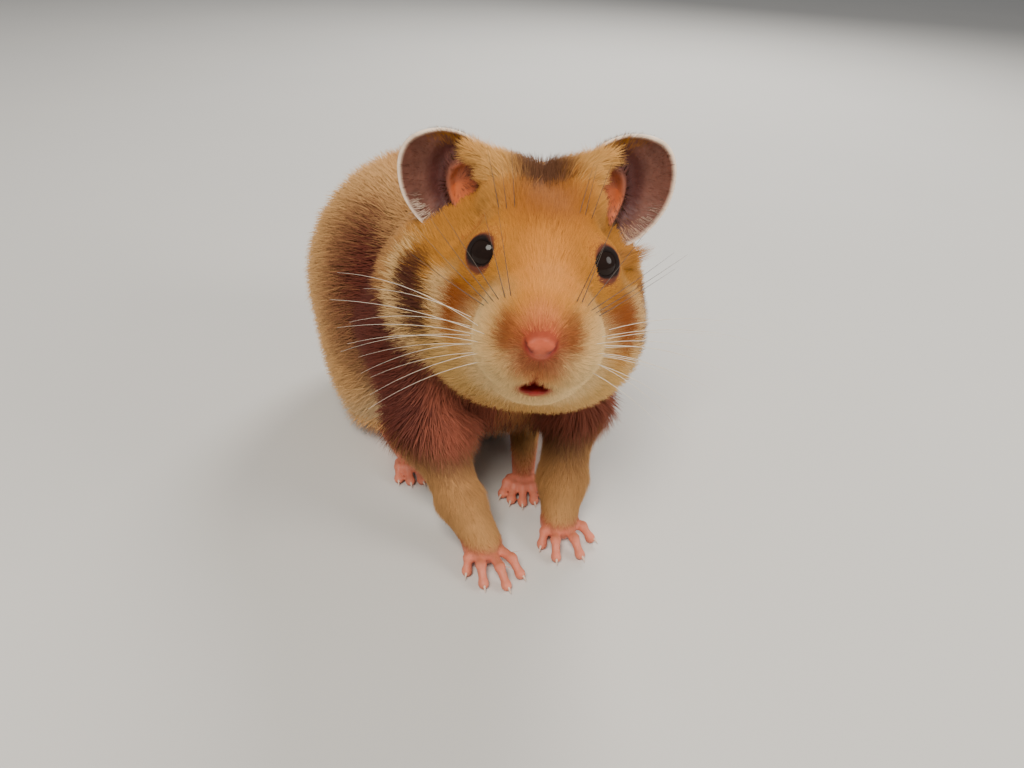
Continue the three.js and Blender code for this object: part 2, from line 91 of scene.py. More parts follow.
BODY_MIDDLE = -2.5  # x of the body's middle plane
TAIL_ROOT, TAIL_WAY = np.array([-5.0, 77.0, 12.0]), np.array([-0.12, 0.94, -0.32])
TAIL_LENGTH = 13.0

# ---- how the coat is grown ----
TUFTS = 262000
MOST_TRIANGLES = 196000  # in one piece of the coat
LOOSE_TUFT = np.array([13.6, 4.6, -1.4])  # a lock that stands out below the left ear
COAT_LIFT = 0.95  # share of the coat's depth that a tuft's tip stands over the skin


def unit(v):
    v = np.asarray(v, float)
    return v / np.maximum(np.linalg.norm(v, axis=-1, keepdims=True), 1e-9)


NECK_NORMAL = unit([0.06, 0.76, -0.65])  # from the head into the body
GAZE = unit([0.44, -0.81, 0.39])  # middle of the opening between the lids
MOUTH = np.array([0.1, -16.2, -13.1])
LID_ACROSS, LID_ALONG = 2.14, 3.06  # the lids' ring: its radius and its place along the gaze
LID_CORNER = unit([-0.75, -0.45, -0.48])  # from the eye to its inner corner
LID_LOW = unit([-0.5, -0.3, -0.8])  # from the eye to where its naked rim is widest
EYE_FACING = unit([0.702, -0.702, 0.12])


# ---- fields ----
def smooth(a, b, x):
    """0 at a and 1 at b, or the other way down when b is below a, with soft ends."""
    t = np.clip((x - a) / (b - a), 0.0, 1.0)
    return t * t * (3.0 - 2.0 * t)


def mix(a, b, t):
    return a + (b - a) * t


def ball(p, centre, radii):
    """Distance from an ellipsoid, exact enough near its surface."""
    q = p - np.asarray(centre, float)
    radii = np.asarray(radii, float)
    once = np.linalg.norm(q / radii, axis=-1)
    twice = np.linalg.norm(q / radii**2, axis=-1)
    return once * (once - 1.0) / np.maximum(twice, 1e-9)


def limb(p, a, b, ra, rb):
    """Distance from a tapered rod with round ends."""
    a, b = np.asarray(a, float), np.asarray(b, float)
    d = b - a
    h = np.clip(((p - a) @ d) / (d @ d), 0.0, 1.0)
    return np.linalg.norm(p - a - h[..., None] * d, axis=-1) - (ra + (rb - ra) * h)


def blend(a, b, k):
    """Union of two fields, filleted over the width k where they meet."""
    h = np.maximum(k - np.abs(a - b), 0.0) / k
    return np.minimum(a, b) - h * h * k * 0.25


def carve(a, b, k):
    """The first field with the second cut out of it, its edge rounded over k."""
    return -blend(-a, b, k)


def mirrored(h):
    """Points of the head with both of its sides laid on the left one."""
    s = h.copy()
    s[..., 0] = np.abs(s[..., 0])
    return s


def turn_matrix():
    t, r = math.radians(HEAD_TURN), math.radians(HEAD_TILT)
    about_z = np.array([[math.cos(t), -math.sin(t), 0], [math.sin(t), math.cos(t), 0], [0, 0, 1]])
    about_y = np.array([[math.cos(r), 0, math.sin(r)], [0, 1, 0], [-math.sin(r), 0, math.cos(r)]])
    return about_z @ about_y


HEAD_AXES = turn_matrix()  # columns: left, back, up


def to_head(p):
    """Points in the head's own frame: level, unturned and straight."""
    h = (p - np.array([0, 0, EYE_LINE_HEIGHT])) @ HEAD_AXES
    h[..., 0] += HEAD_SWEEP * np.maximum(h[..., 1], 0.0)
    return h


def from_head(h):
    h = np.array(h, float)
    h[..., 0] -= HEAD_SWEEP * np.maximum(h[..., 1], 0.0)
    return h @ HEAD_AXES.T + np.array([0, 0, EYE_LINE_HEIGHT])


def head_outline(p):
    h = to_head(p)
    s = mirrored(h)
    d = ball(h, (0, 13.5, -3.2), (13.2, 16.5, 12.2))
    d = blend(d, ball(h, (0, 1, -3), (8.4, 11, 8.8)), 5)
    d = blend(d, ball(h, (0, 5, -3.0), (9.6, 10.5, 9.6)), 6)
    d = blend(d, limb(h, (0, -3, -4.8), (0, -14, -5.2), 8.4, 6.4), 5)
    d = blend(d, limb(h, (0, -13, -4.2), (0, -19.8, -3.3), 5.4, 2.7), 4)
    d = blend(d, ball(s, (4.8, -13.6, -7.3), (4.5, 6.1, 5.3)), 4.5)
    d = blend(d, ball(s, (8.6, 3.5, -12), (9.2, 11.5, 9.4)), 6)
    d = blend(d, ball(s, (7.9, 12, -10.5), (10.8, 11, 12)), 7)
    d = blend(d, ball(s, (6.9, 3, -15.6), (9.2, 11, 8.8)), 6)
    d = blend(d, limb(h, (0, -10.2, -13.2), (0, 4, -15.5), 5.9, 9.5), 6.5)
    d = blend(d, ball(h, *THROAT_RUFF), 8)
    d = blend(d, ball(h, *FULL_CHEEK), 6)
    d = blend(d, ball(h, *SIDE_RUFF), 6)
    d = carve(d, ball(s, *TEMPLE_HOLLOW), 5)
    d = blend(d, ball(s, (6.0, 9.0, 4.6), (4.2, 5.0, 4.4)), 5)
    for side in SIDES:
        d = blend(d, limb(h, *EAR_RIDGES[side]), 5)
    return blend(d, ball(s, EYE_CENTRE - 0.2 * EYE_FACING, (4.0, 4.1, 4.0)), 2.5)


def trunk_outline(p):
    d = ball(p, (-4, 56, 28.2), (29, 28, 28))
    d = blend(d, ball(p, (-2.5, 39, 28), (28, 24, 26.5)), 10)
    d = blend(d, ball(p, (-0.5, 22, 35), (22, 17, 21)), 10)
    d = blend(d, ball(p, (0.5, 16, 44), (18.5, 14, 16)), 8)
    return blend(d, ball(p, (1, 30, 45), (17, 15, 14.5)), 10)


def forearm(p, side):
    """Distance from the leg between elbow and palm."""
    _, elbow, wrist, palm, (_, rb, rc) = FORELEGS[side]
    d = limb(p, elbow, wrist, rb - 0.2, rc)
    return blend(d, limb(p, wrist, np.add(palm, (0, 0, 1.7)), rc - 0.1, 3.4), 3)


def outline(p):
    """Distance from the outside of the coat, the surface that the solids have too."""
    d = blend(trunk_outline(p), head_outline(p), 7)
    legs = 1e9
    for side in SIDES:
        shoulder, elbow, _, _, (ra, rb, _) = FORELEGS[side]
        upper = limb(p, shoulder, elbow, ra, rb)
        legs = np.minimum(legs, blend(upper, forearm(p, side), 4))
    d = blend(d, legs, 4)
    haunches = np.minimum(ball(p, *HAUNCHES["right"]), ball(p, *HAUNCHES["left"]))
    return blend(d, haunches, 5)


def tail_field(p):
    return limb(p, TAIL_ROOT, TAIL_ROOT + unit(TAIL_WAY) * TAIL_LENGTH, 3.0, 0.7)


def coat_depth(p):
    """Depth of the coat over the skin, in millimetres."""
    h = to_head(p)
    s = mirrored(h)
    behind = (p - NECK_POINT) @ NECK_NORMAL
    body = 2.9 + 1.3 * smooth(14, 50, p[..., 1]) - 0.8 * smooth(16, 5, p[..., 2])
    face = mix(0.42, 0.95, smooth(-14, -4, h[..., 1]))
    face = mix(face, 1.7, smooth(-2, 12, h[..., 1]))
    cheek = smooth(7, 15, s[..., 0]) * smooth(-4, -12, h[..., 2]) * smooth(-12, 2, h[..., 1])
    throat = smooth(-10, -18, h[..., 2]) * smooth(-12, -3, h[..., 1])
    face = face + 1.1 * cheek + 0.9 * throat * (1 - 0.5 * cheek)
    for side in SIDES:
        face = mix(face, 0.9, smooth(2.5, 0.5, limb(h, *EAR_RIDGES[side])))
    by_eye = np.linalg.norm(s - EYE_CENTRE, axis=-1)
    face = mix(face, 0.12, smooth(7.5, 4.2, by_eye))
    depth = mix(face, body, smooth(-12, 11, behind))
    depth = mix(depth, 0.5, smooth(3.5, 1.0, tail_field(p)) * smooth(74, 80, p[..., 1]))
    for side in SIDES:
        near = smooth(5.0, 0.5, forearm(p, side)) * smooth(25, 17, p[..., 2])
        depth = mix(depth, mix(0.3, 1.3, smooth(5, 17, p[..., 2])), near)
        heel, front, (ra, rb) = HINDFEET[side]
        near = smooth(3.5, 0.5, limb(p, heel, front, ra, rb)) * smooth(10, 6, p[..., 2])
        depth = mix(depth, 0.35, near)
    return depth


def hind_toes(side):
    heel, front, _ = HINDFEET[side]
    way = unit([front[0] - heel[0], front[1] - heel[1], 0])
    across = np.array([-way[1], way[0], 0])
    toes = []
    for i, length in enumerate((4.2, 5.4, 5.8, 5.3, 4.0)):
        k = i - 2
        a = math.radians(k * 11)
        ahead = way * math.cos(a) + across * math.sin(a)
        root = np.array(front, float) + across * k * 1.25 + way * (0.4 - 0.25 * abs(k))
        tip, joint = root + ahead * length, root + ahead * length * 0.5
        tip[2], joint[2] = 0.95, 2.3
        toes.append((root, joint, tip))
    return toes


ALL_TOES = {"forepaw_" + s: [tuple(map(np.array, t)) for t in TOES[s]] for s in SIDES}
ALL_TOES.update({"hindfoot_" + s: hind_toes(s) for s in SIDES})


def feet(p):
    """Palms, soles and toes, bare of coat."""
    d = np.full(p.shape[:-1], 1e9)
    for name, toes in ALL_TOES.items():
        side = name.split("_")[1]
        if name.startswith("forepaw"):
            wrist, palm = FORELEGS[side][2:4]
            foot = ball(p, palm, (3.3, 3.4, 2.3))
            foot = blend(foot, limb(p, wrist, np.add(palm, (0, 0.6, 1.4)), 3.6, 2.9), 2)
        else:
            heel, front, (ra, rb) = HINDFEET[side]
            foot = limb(p, heel, front, ra - 0.4, rb - 0.3)
        for root, joint, tip in toes:
            knuckle = root + (joint - root) * 0.3
            one = blend(limb(p, knuckle, joint, 0.95, 0.82), limb(p, joint, tip, 0.8, 0.72), 0.35)
            one = blend(one, ball(p, joint, (0.98, 0.98, 0.95)), 0.3)
            one = blend(one, ball(p, tip, (0.92, 1.05, 0.92)), 0.4)
            foot = blend(foot, one, 0.8)
        d = np.minimum(d, foot)
    return d


def lid_ring(s):
    """Distance from the middle line of the eyelids, in the head's mirrored frame."""
    q = s - EYE_CENTRE
    along = q @ GAZE
    across = np.sqrt(np.maximum((q * q).sum(-1) - along**2, 0))
    corner = np.clip((q @ LID_CORNER) / np.maximum(across, 1e-6), 0, 1) ** 6
    return np.hypot(across - LID_ACROSS - 0.3 * corner, along - LID_ALONG)


def bare_lid(s):
    """Distance from the eye's naked rim, which is wider below and at the inner corner."""
    q = s - EYE_CENTRE
    across = unit(q - (q @ GAZE)[..., None] * GAZE)
    return lid_ring(s) - 0.6 * np.clip(across @ LID_LOW, 0, 1) ** 2


def skin(p):
    """The skin's surface: the outline less the coat, with lids, nose, mouth and feet."""
    d = outline(p) + coat_depth(p)
    d = blend(d, feet(p), 1.0)
    h = to_head(p)
    s = mirrored(h)
    d = carve(d, ball(s, EYE_CENTRE + 4.5 * GAZE, (2.4, 2.4, 2.4)), 0.5)
    d = blend(d, lid_ring(s) - 0.26, 0.5)
    d = blend(d, ball(s, (1.45, -20.8, -3.4), (1.5, 1.75, 1.45)), 0.7)
    d = carve(d, limb(s, (0.85, -23.1, -4.9), (2.75, -21.5, -3.2), 0.22, 0.34), 0.25)
    d = carve(d, limb(s, (4.1, -21.4, -2.2), (3.4, -21.9, -6.4), 1.0, 0.8), 2.4)
    d = carve(d, limb(s, (2.8, -21.5, -3.4), (0.1, -22.5, -6.4), 0.2, 0.2), 0.4)
    d = carve(d, limb(h, (0, -22.9, -4.1), (0, -20.6, -8.0), 0.16, 0.24), 0.45)
    d = carve(d, limb(h, (0, -20.6, -8.0), (0, -17.8, -12.0), 0.24, 0.5), 0.7)
    d = carve(d, ball(h, MOUTH, (2.2, 3.2, 1.35)), 0.5)
    d = carve(d, limb(s, (0.6, -16.6, -13.0), (4.4, -13.2, -14.3), 0.34, 0.2), 0.6)
    d = blend(d, limb(s, (0.0, -15.9, -14.7), (1.6, -15.3, -14.5), 0.5, 0.4), 0.6)
    tail = limb(p, TAIL_ROOT, TAIL_ROOT + unit(TAIL_WAY) * (TAIL_LENGTH - 0.8), 2.7, 0.7)
    return blend(d, tail, 1.0)


def in_chunks(function, points, width=200000):
    parts = [function(points[i : i + width]) for i in range(0, len(points), width)]
    return np.concatenate(parts)


def slope(field, points, e=0.03):
    """The field and its gradient at the points."""
    here = in_chunks(field, points)
    cols = [in_chunks(field, points + e * np.eye(3)[k]) - here for k in range(3)]
    return here, np.stack(cols, -1) / e


# ---- surface nets ----
def net(field, low, high, cell):
    """Quads of the field's surface inside a box, with their points on the surface."""
    low = np.asarray(low, float)
    n = np.ceil((np.asarray(high, float) - low) / cell).astype(int) + 1
    axes = [low[k] + cell * np.arange(n[k]) for k in range(3)]
    grid = np.stack(np.meshgrid(*axes, indexing="ij"), -1).reshape(-1, 3)
    value = in_chunks(field, grid).reshape(n)
    inside = value < 0
    cells = tuple(n - 1)
    total = np.zeros(cells + (3,))
    count = np.zeros(cells)
    crossings = []
    for axis in range(3):
        near, far = [slice(None)] * 3, [slice(None)] * 3
        near[axis], far[axis] = slice(0, -1), slice(1, None)
        va, vb = value[tuple(near)], value[tuple(far)]
        cut = (va < 0) != (vb < 0)
        t = np.where(cut, va / np.where(cut, va - vb, 1.0), 0.0)
        others = [k for k in range(3) if k != axis]
        for d1 in (0, 1):
            for d2 in (0, 1):
                part = [slice(None)] * 3
                part[others[0]] = slice(d1, n[others[0]] - 1 + d1)
                part[others[1]] = slice(d2, n[others[1]] - 1 + d2)
                c = cut[tuple(part)]
                total[..., axis] += t[tuple(part)] * c
                total[..., others[0]] += d1 * c
                total[..., others[1]] += d2 * c
                count += c
        crossings.append((cut, others))
    used = count > 0
    number = np.full(cells, -1)
    number[used] = np.arange(used.sum())
    corner = np.stack(np.nonzero(used), -1)
    points = low + (corner + total[used] / count[used][:, None]) * cell
    quads = []
    for axis, (cut, (o1, o2)) in enumerate(crossings):
        at = np.stack(np.nonzero(cut), -1)
        keep = (at[:, o1] > 0) & (at[:, o2] > 0) & (at[:, o1] < n[o1] - 1) & (at[:, o2] < n[o2] - 1)
        at = at[keep]
        ring = []
        for d1, d2 in ((-1, -1), (0, -1), (0, 0), (-1, 0)):
            c = at.copy()
            c[:, o1] += d1
            c[:, o2] += d2
            ring.append(number[tuple(c.T)])
        ring = np.stack(ring, -1)
        outwards = inside[tuple(at.T)] ^ (axis == 1)
        ring[~outwards] = ring[~outwards][:, ::-1]
        quads.append(ring)
    start = points.copy()
    for _ in range(3):
        d, g = slope(field, points)
        step = d[:, None] * g / np.maximum((g * g).sum(-1), 0.25)[:, None]
        points = points - np.clip(step, -0.4 * cell, 0.4 * cell)
    lost = np.linalg.norm(points - start, axis=-1) > 0.8 * cell
    points[lost] = start[lost]
    return points, np.concatenate(quads)


# ---- mesh making ----
def in_metres(points):
    return (np.asarray(points, float) - ORIGIN) / 1000.0


def make_mesh(name, points, faces):
    """An object from points in millimetres and an array of faces with equal numbers of corners."""
    faces = np.asarray(faces, np.int32)
    mesh = bpy.data.meshes.new(name)
    mesh.vertices.add(len(points))
    mesh.vertices.foreach_set("co", in_metres(points).astype(np.float32).ravel())
    mesh.loops.add(faces.size)
    mesh.loops.foreach_set("vertex_index", faces.ravel())
    mesh.polygons.add(len(faces))
    mesh.polygons.foreach_set("loop_start", np.arange(0, faces.size, faces.shape[1], dtype=np.int32))
    mesh.update(calc_edges=True)
    mesh.polygons.foreach_set("use_smooth", np.ones(len(faces), bool))
    mesh.validate()
    piece = bpy.data.objects.new(name, mesh)
    bpy.context.scene.collection.objects.link(piece)
    return piece


def tube_quads(rows, around, tubes=1):
    """Quads round tubes whose points are numbered ring by ring."""
    c, i, s = np.meshgrid(np.arange(tubes), np.arange(rows - 1), np.arange(around), indexing="ij")
    t = (s + 1) % around
    row = (c * rows + i) * around
    return np.stack([row + s, row + t, row + around + t, row + around + s], -1).reshape(-1, 4)


def paint(piece, **layers):
    """Stores colours or numbers at the points of a mesh."""
    for name, values in layers.items():
        values = np.asarray(values, np.float32)
        if values.ndim == 2:
            layer = piece.data.attributes.new(name, "FLOAT_COLOR", "POINT")
            full = np.concatenate([values, np.ones((len(values), 1), np.float32)], 1)
            layer.data.foreach_set("color", full.ravel())
        else:
            layer = piece.data.attributes.new(name, "FLOAT", "POINT")
            layer.data.foreach_set("value", values)


def linear(r, g, b):
    c = np.array([r, g, b], float) / 255.0
    return np.where(c <= 0.04045, c / 12.92, ((c + 0.055) / 1.055) ** 2.4)


# ---- markings ----
GOLD = linear(206, 138, 54)
FOREHEAD = linear(184, 106, 34)
TEMPLE = linear(198, 132, 56)
BRIDGE = linear(226, 146, 64)
SNOUT = linear(222, 134, 78)
# BESIDE_NOSE: the fur's orange-brown beside the nose, partly painted shade in the grooves there.
BESIDE_NOSE = linear(146, 74, 34)
CREAM = linear(250, 210, 146)
# WHITE: the pale fur of chin and lower cheeks, made darker in part as painted shade for the lower face.
WHITE = linear(226, 178, 104)
ORANGE = linear(146, 72, 30)
FLASH = linear(92, 50, 36)
CROWN = linear(96, 62, 44)
RIDGE = linear(232, 174, 100)
RUFF_TAN = linear(198, 142, 84)
SHOULDER = linear(106, 52, 40)
CHEST = linear(84, 46, 44)
# Chest colour lightened under the chin as painted light, standing in for light on the shaded throat.
CHEST_PAINTED_LIGHT = linear(166, 94, 72)
BACK = linear(232, 178, 114)
SADDLE = linear(196, 138, 84)
BELLY = linear(236, 206, 160)
# FOREARM and PINK: the legs' tan and the pink of paws and tail, both made darker in part as painted
# shade for the shade over the legs and paws.
FOREARM = linear(204, 150, 94)
PINK = linear(212, 124, 98)
NOSE = linear(190, 90, 60)
# NOSTRIL is laid dark along the nostril slits as painted shade; LIPS is the lips' red and is also laid
# dark in the creases of nose and philtrum as painted shade.
NOSTRIL = linear(110, 36, 26)
LIPS = linear(160, 44, 36)
MUZZLE = linear(150, 78, 58)
EYE_SKIN = linear(110, 56, 50)
LID = linear(30, 16, 14)

WAVES = random.normal(0, 1, (10, 3)) / np.array([9, 7, 6, 5, 4, 3.4, 3, 2.6, 2.2, 2])[:, None]
PHASES = random.uniform(0, 2 * math.pi, (3, 10))


def drift(p, amount):
    """Uneven offset that keeps the edges of the markings from being smooth."""
    waves = p @ WAVES.T
    return amount * np.stack([np.sin(waves + PHASES[k]).mean(-1) * 2.2 for k in range(3)], -1)


def patch(q, centre, radii, soft):
    """1 inside an ellipsoid and 0 outside it, with a soft edge."""
    far = np.linalg.norm((q - np.asarray(centre, float)) / np.asarray(radii, float), axis=-1)
    return smooth(1.0 + soft / 2, 1.0 - soft / 2, far)


def lay(under, colour, share):
    return under + (colour - under) * share[..., None]


def lay_all(colour, *layers):
    for tint, share in layers:
        colour = lay(colour, tint, share)
    return colour


def head_markings(h):
    """Colours of the head: gold crown, white pads and chin, and the stripes behind the cheek."""
    s = mirrored(h)
    x, y, z = s[..., 0], s[..., 1], s[..., 2]
    stripe = np.stack([x, y - 0.62 * np.minimum(z + 7.0, 0.0), z], -1)
    past = smooth(10.0, 12.0, stripe[..., 1]) * smooth(9, 14, x) * smooth(-2, -6, z)
    ridge = np.minimum(limb(h, *EAR_RIDGES["right"]), limb(h, *EAR_RIDGES["left"]))
    return lay_all(
        np.broadcast_to(GOLD, h.shape).copy(),
        (RIDGE, 0.45 * patch(s, (6.5, 8, 5), (4.5, 5, 5), 1.0)),
        (FOREHEAD, 0.85 * patch(h, (0, 2, 7), (7.0, 10, 8), 1.3)),
        (CROWN, 0.3 * patch(h, (-0.2, 5, 8), (4.5, 9, 6), 1.2)),
        (TEMPLE, 0.8 * patch(s, (12.5, 9, 1), (5, 6, 6), 1.0)),
        (WHITE, 0.9 * smooth(-12.0, -17.5, z) * smooth(19, 9, y)),
        (WHITE, 0.75 * patch(s, (15.5, -1.5, -17.0), (8, 8, 5), 0.9)),
        (ORANGE, 0.9 * patch(s, (12.8, -5.0, -8.2), (5.4, 5.4, 4.2), 0.9)),
        (BRIDGE, patch(h, (0, -11, 2.6), (6.5, 8.5, 5.5), 1.1)),
        (CREAM, patch(s, (6.6, -14.2, -9.6), (6.8, 8.0, 7.8), 0.9)),
        (CREAM, patch(h, (0, -12.5, -16.6), (10, 8, 5.6), 0.9)),
        # Orange-brown beside the nose, partly painted shade in the carved grooves.
        (BESIDE_NOSE, 0.9 * patch(s, (4.1, -19.6, -3.2), (1.6, 3.0, 2.7), 1.1)),
        (SNOUT, 0.95 * patch(h, (0, -20.8, -1.8), (3.4, 4.6, 3.6), 0.9)),
        (SNOUT, 0.7 * patch(h, (0, -20.4, -8.0), (2.8, 3.0, 3.4), 1.1)),
        (CREAM, 0.75 * patch(stripe, (17, -0.3, -10.0), (6, 1.7, 8), 0.9)),
        (FLASH, patch(stripe, (20.0, 4.4, -10.4), (8.0, 3.0, 6.6), 0.7)),
        (CREAM, 0.9 * patch(stripe, (21.5, 9.0, -13.5), (9.0, 2.0, 10.5), 0.7)),
        (RUFF_TAN, past),
        (SHOULDER, past * smooth(-11, -14.5, z)),
        (RIDGE, 0.8 * smooth(1.5, 0.0, ridge)),
        (CROWN, 0.95 * patch(h, (-0.6, 11.4, 9.0), (4.5, 4.8, 5), 0.8)),
    )


def body_markings(p, h, normals):
    """Colours of the body: saddle, pale belly, dark shoulder band and chest, and painted light on the
    chest under the chin.
    """
    x, y, z = p[..., 0], p[..., 1], p[..., 2]
    behind = (p - NECK_POINT) @ NECK_NORMAL
    aside = np.abs(x - BODY_MIDDLE)
    off_chin = np.abs(h[..., 0])
    band = smooth(38, 20, behind) * smooth(0, 5, behind)
    chest = smooth(22, 12, y) * smooth(8, 15, z) * smooth(34, 29, z)
    painted_light_under_chin = smooth(17, 20.5, z) * smooth(26, 18, y)
    return lay_all(
        np.broadcast_to(BACK, p.shape).copy(),
        (SADDLE, smooth(13, 3, aside) * smooth(34, 44, z)),
        (BELLY, smooth(-0.1, -0.6, normals[..., 2]) * smooth(28, 15, z)),
        (SHOULDER, band * smooth(10, 20, z) * smooth(4, 16, aside) * smooth(52, 44, z)),
        (RUFF_TAN, 0.8 * smooth(44, 53, z) * smooth(26, 8, behind)),
        (CHEST, chest * smooth(20, 12, aside)),
        # Painted light: the chest under the chin is lightened, with a tan stripe down its middle.
        (CHEST_PAINTED_LIGHT, 0.85 * painted_light_under_chin * smooth(20, 14, off_chin)),
        (RUFF_TAN, 0.7 * painted_light_under_chin * smooth(4.5, 1.5, off_chin)),
    )


def markings(place, normals, hair=False):
    """Colour of the skin, or of the hair on it, at points of the skin."""
    p = place + drift(place, 0.75)
    h = to_head(p)
    on_head = smooth(7, -1, (p - NECK_POINT) @ NECK_NORMAL)
    ruff = patch(h, SIDE_RUFF[0], np.add(SIDE_RUFF[1], 2.5), 0.3) * smooth(19, 15, h[..., 1])
    throat = patch(h, THROAT_RUFF[0], np.add(THROAT_RUFF[1], 1.0), 0.9)
    on_head = np.maximum(on_head, np.maximum(ruff, throat))
    colour = mix(body_markings(p, h, normals), head_markings(h), on_head[..., None])
    for side in SIDES:
        near = smooth(4.5, 0.5, forearm(p, side)) * smooth(21, 12, p[..., 2])
        colour = lay(colour, FOREARM, near)
    h = to_head(place)  # bare skin keeps its true edges, so it has no drift
    s = mirrored(h)
    y, z = place[..., 1], place[..., 2]
    from_foot = feet(place)
    nostril = limb(s, (0.9, -22.9, -4.8), (2.7, -21.5, -3.2), 0.05, 0.14)
    crease = np.minimum(
        limb(s, (2.8, -21.5, -3.4), (0.1, -22.5, -6.4), 0.1, 0.1),
        limb(h, (0, -22.6, -6.0), (0, -17.8, -12.0), 0.1, 0.3),
    )
    colour = lay_all(
        colour,
        (FOREARM, ((y > 6.5) & (z < 12)) * smooth(1.6, 0.6, from_foot)),
        (PINK, smooth(1.2, 0.3, from_foot) * smooth(6.0, 3.2, z)),
        (PINK, smooth(1.2, 0.2, tail_field(place)) * smooth(74, 80, y)),
        (MUZZLE, 0.6 * patch(s, (1.9, -21.4, -6.6), (2.5, 2.8, 2.6), 0.9)),
        (NOSE, patch(h, (0, -22.2, -3.5), (3.4, 2.8, 3.0), 0.6)),
        # Painted shade: the nostril slits and the creases from the nose to the mouth are coloured dark.
        (NOSTRIL, smooth(0.75, 0.3, nostril)),
        (LIPS, 0.8 * smooth(0.7, 0.2, crease)),
        (LIPS, patch(h, MOUTH, (2.8, 4.0, 2.1), 0.5)),
    )
    if hair:
        return colour
    colour = lay(colour, EYE_SKIN, 0.9 * smooth(1.15, 0.7, bare_lid(s)))
    return lay(colour, LID, smooth(0.66, 0.42, lid_ring(s)))


def bare_skin(p):
    """1 on nose, lips and toes, where no coat hides the skin."""
    h = to_head(p)
    share = smooth(0.7, 0.2, feet(p)) * smooth(4.2, 3.0, p[..., 2])
    share = np.maximum(share, patch(h, (0, -22.6, -4.0), (2.3, 2.0, 2.0), 0.3))
    share = np.maximum(share, patch(h, MOUTH, (2.6, 3.6, 1.8), 0.4))
    return share


# ---- shader groups ----
def new_group(name, inputs, outputs):
    group = bpy.data.node_groups.new(name, "ShaderNodeTree")
    for label, kind, value in inputs:
        socket = group.interface.new_socket(label, in_out="INPUT", socket_type=kind)
        socket.default_value = value
    for label, kind in outputs:
        group.interface.new_socket(label, in_out="OUTPUT", socket_type=kind)
    return group, group.nodes.new("NodeGroupInput"), group.nodes.new("NodeGroupOutput")


def add_node(tree, kind, **settings):
    node = tree.nodes.new(kind)
    for key, value in settings.items():
        if key in node.inputs.keys():
            node.inputs[key].default_value = value
        else:
            setattr(node, key, value)
    return node


def colour_mix(tree, share, first, second, way="MIX"):
    """Output of a colour mix of sockets or constants."""
    node = tree.nodes.new("ShaderNodeMix")
    node.data_type, node.blend_type = "RGBA", way
    for index, source in ((0, share), (6, first), (7, second)):
        if isinstance(source, bpy.types.NodeSocket):
            tree.links.new(source, node.inputs[index])
        else:
            node.inputs[index].default_value = source
    return node.outputs[2]


def reckon(tree, operation, *values):
    """Output of a sum on sockets or numbers."""
    node = tree.nodes.new("ShaderNodeMath")
    node.operation = operation
    for index, value in enumerate(values):
        if isinstance(value, bpy.types.NodeSocket):
            tree.links.new(value, node.inputs[index])
        else:
            node.inputs[index].default_value = value
    return node.outputs[0]


def noise(tree, scale, detail, coordinates=None):
    node = add_node(tree, "ShaderNodeTexNoise", Scale=scale, Detail=detail)
    if coordinates is None:
        coordinates = tree.nodes.new("ShaderNodeTexCoord").outputs["Object"]
    tree.links.new(coordinates, node.inputs["Vector"])
    return node.outputs["Fac"]


def grey(tree, value):
    """A grey of this brightness."""
    node = tree.nodes.new("ShaderNodeCombineColor")
    for k in range(3):
        tree.links.new(value, node.inputs[k])
    return node.outputs[0]


def build_fur_tone():
    """Root shade, a brightness of its own for each hair and dark ticking of a tuft over its marking."""
    group, source, result = new_group(
        "fur tone",
        [
            ("Marking", "NodeSocketColor", (0.5, 0.3, 0.15, 1)),
            ("Along", "NodeSocketFloat", 0.5),
            ("Hair", "NodeSocketFloat", 0.5),
            ("Root shade", "NodeSocketFloat", 0.5),
            ("Ticking", "NodeSocketFloat", 0.3),
        ],
        [("Color", "NodeSocketColor")],
    )
    marking, along, hair = (source.outputs[k] for k in ("Marking", "Along", "Hair"))
    from_root = reckon(group, "SUBTRACT", 1.0, along)
    shade = reckon(group, "MULTIPLY", from_root, source.outputs["Root shade"])
    dark = colour_mix(group, 1.0, marking, (0.42, 0.30, 0.24, 1), "MULTIPLY")
    toned = colour_mix(group, shade, marking, dark)
    bright = reckon(group, "MULTIPLY_ADD", hair, 0.42, 0.79)
    toned = colour_mix(group, 1.0, toned, grey(group, bright), "MULTIPLY")
    chosen = reckon(group, "GREATER_THAN", hair, 0.80)
    tip = reckon(group, "MULTIPLY", reckon(group, "POWER", along, 2.0), chosen)
    tip = reckon(group, "MULTIPLY", tip, source.outputs["Ticking"])
    toned = colour_mix(group, tip, toned, (0.035, 0.022, 0.016, 1))
    group.links.new(toned, result.inputs["Color"])
    return group


def build_skin_grain():
    """Fine creases and pores, as a tone and a height."""
    group, source, result = new_group(
        "skin grain",
        [
            ("Color", "NodeSocketColor", (0.8, 0.5, 0.4, 1)),
            ("Scale", "NodeSocketFloat", 1800.0),
            ("Mottle", "NodeSocketFloat", 0.3),
        ],
        [("Color", "NodeSocketColor"), ("Height", "NodeSocketFloat")],
    )
    place = group.nodes.new("ShaderNodeTexCoord").outputs["Object"]
    cells = add_node(group, "ShaderNodeTexVoronoi")
    group.links.new(place, cells.inputs["Vector"])
    group.links.new(source.outputs["Scale"], cells.inputs["Scale"])
    fine = noise(group, 2600.0, 2.0, place)
    broad = noise(group, 420.0, 3.0, place)
    height = reckon(group, "MULTIPLY_ADD", fine, 0.5, cells.outputs["Distance"])
    uneven = reckon(group, "MULTIPLY", reckon(group, "SUBTRACT", broad, 0.5), source.outputs["Mottle"])
    uneven = reckon(group, "ADD", reckon(group, "MULTIPLY", uneven, 2.0), 1.0)
    toned = colour_mix(group, 1.0, source.outputs["Color"], grey(group, uneven), "MULTIPLY")
    group.links.new(toned, result.inputs["Color"])
    group.links.new(height, result.inputs["Height"])
    return group


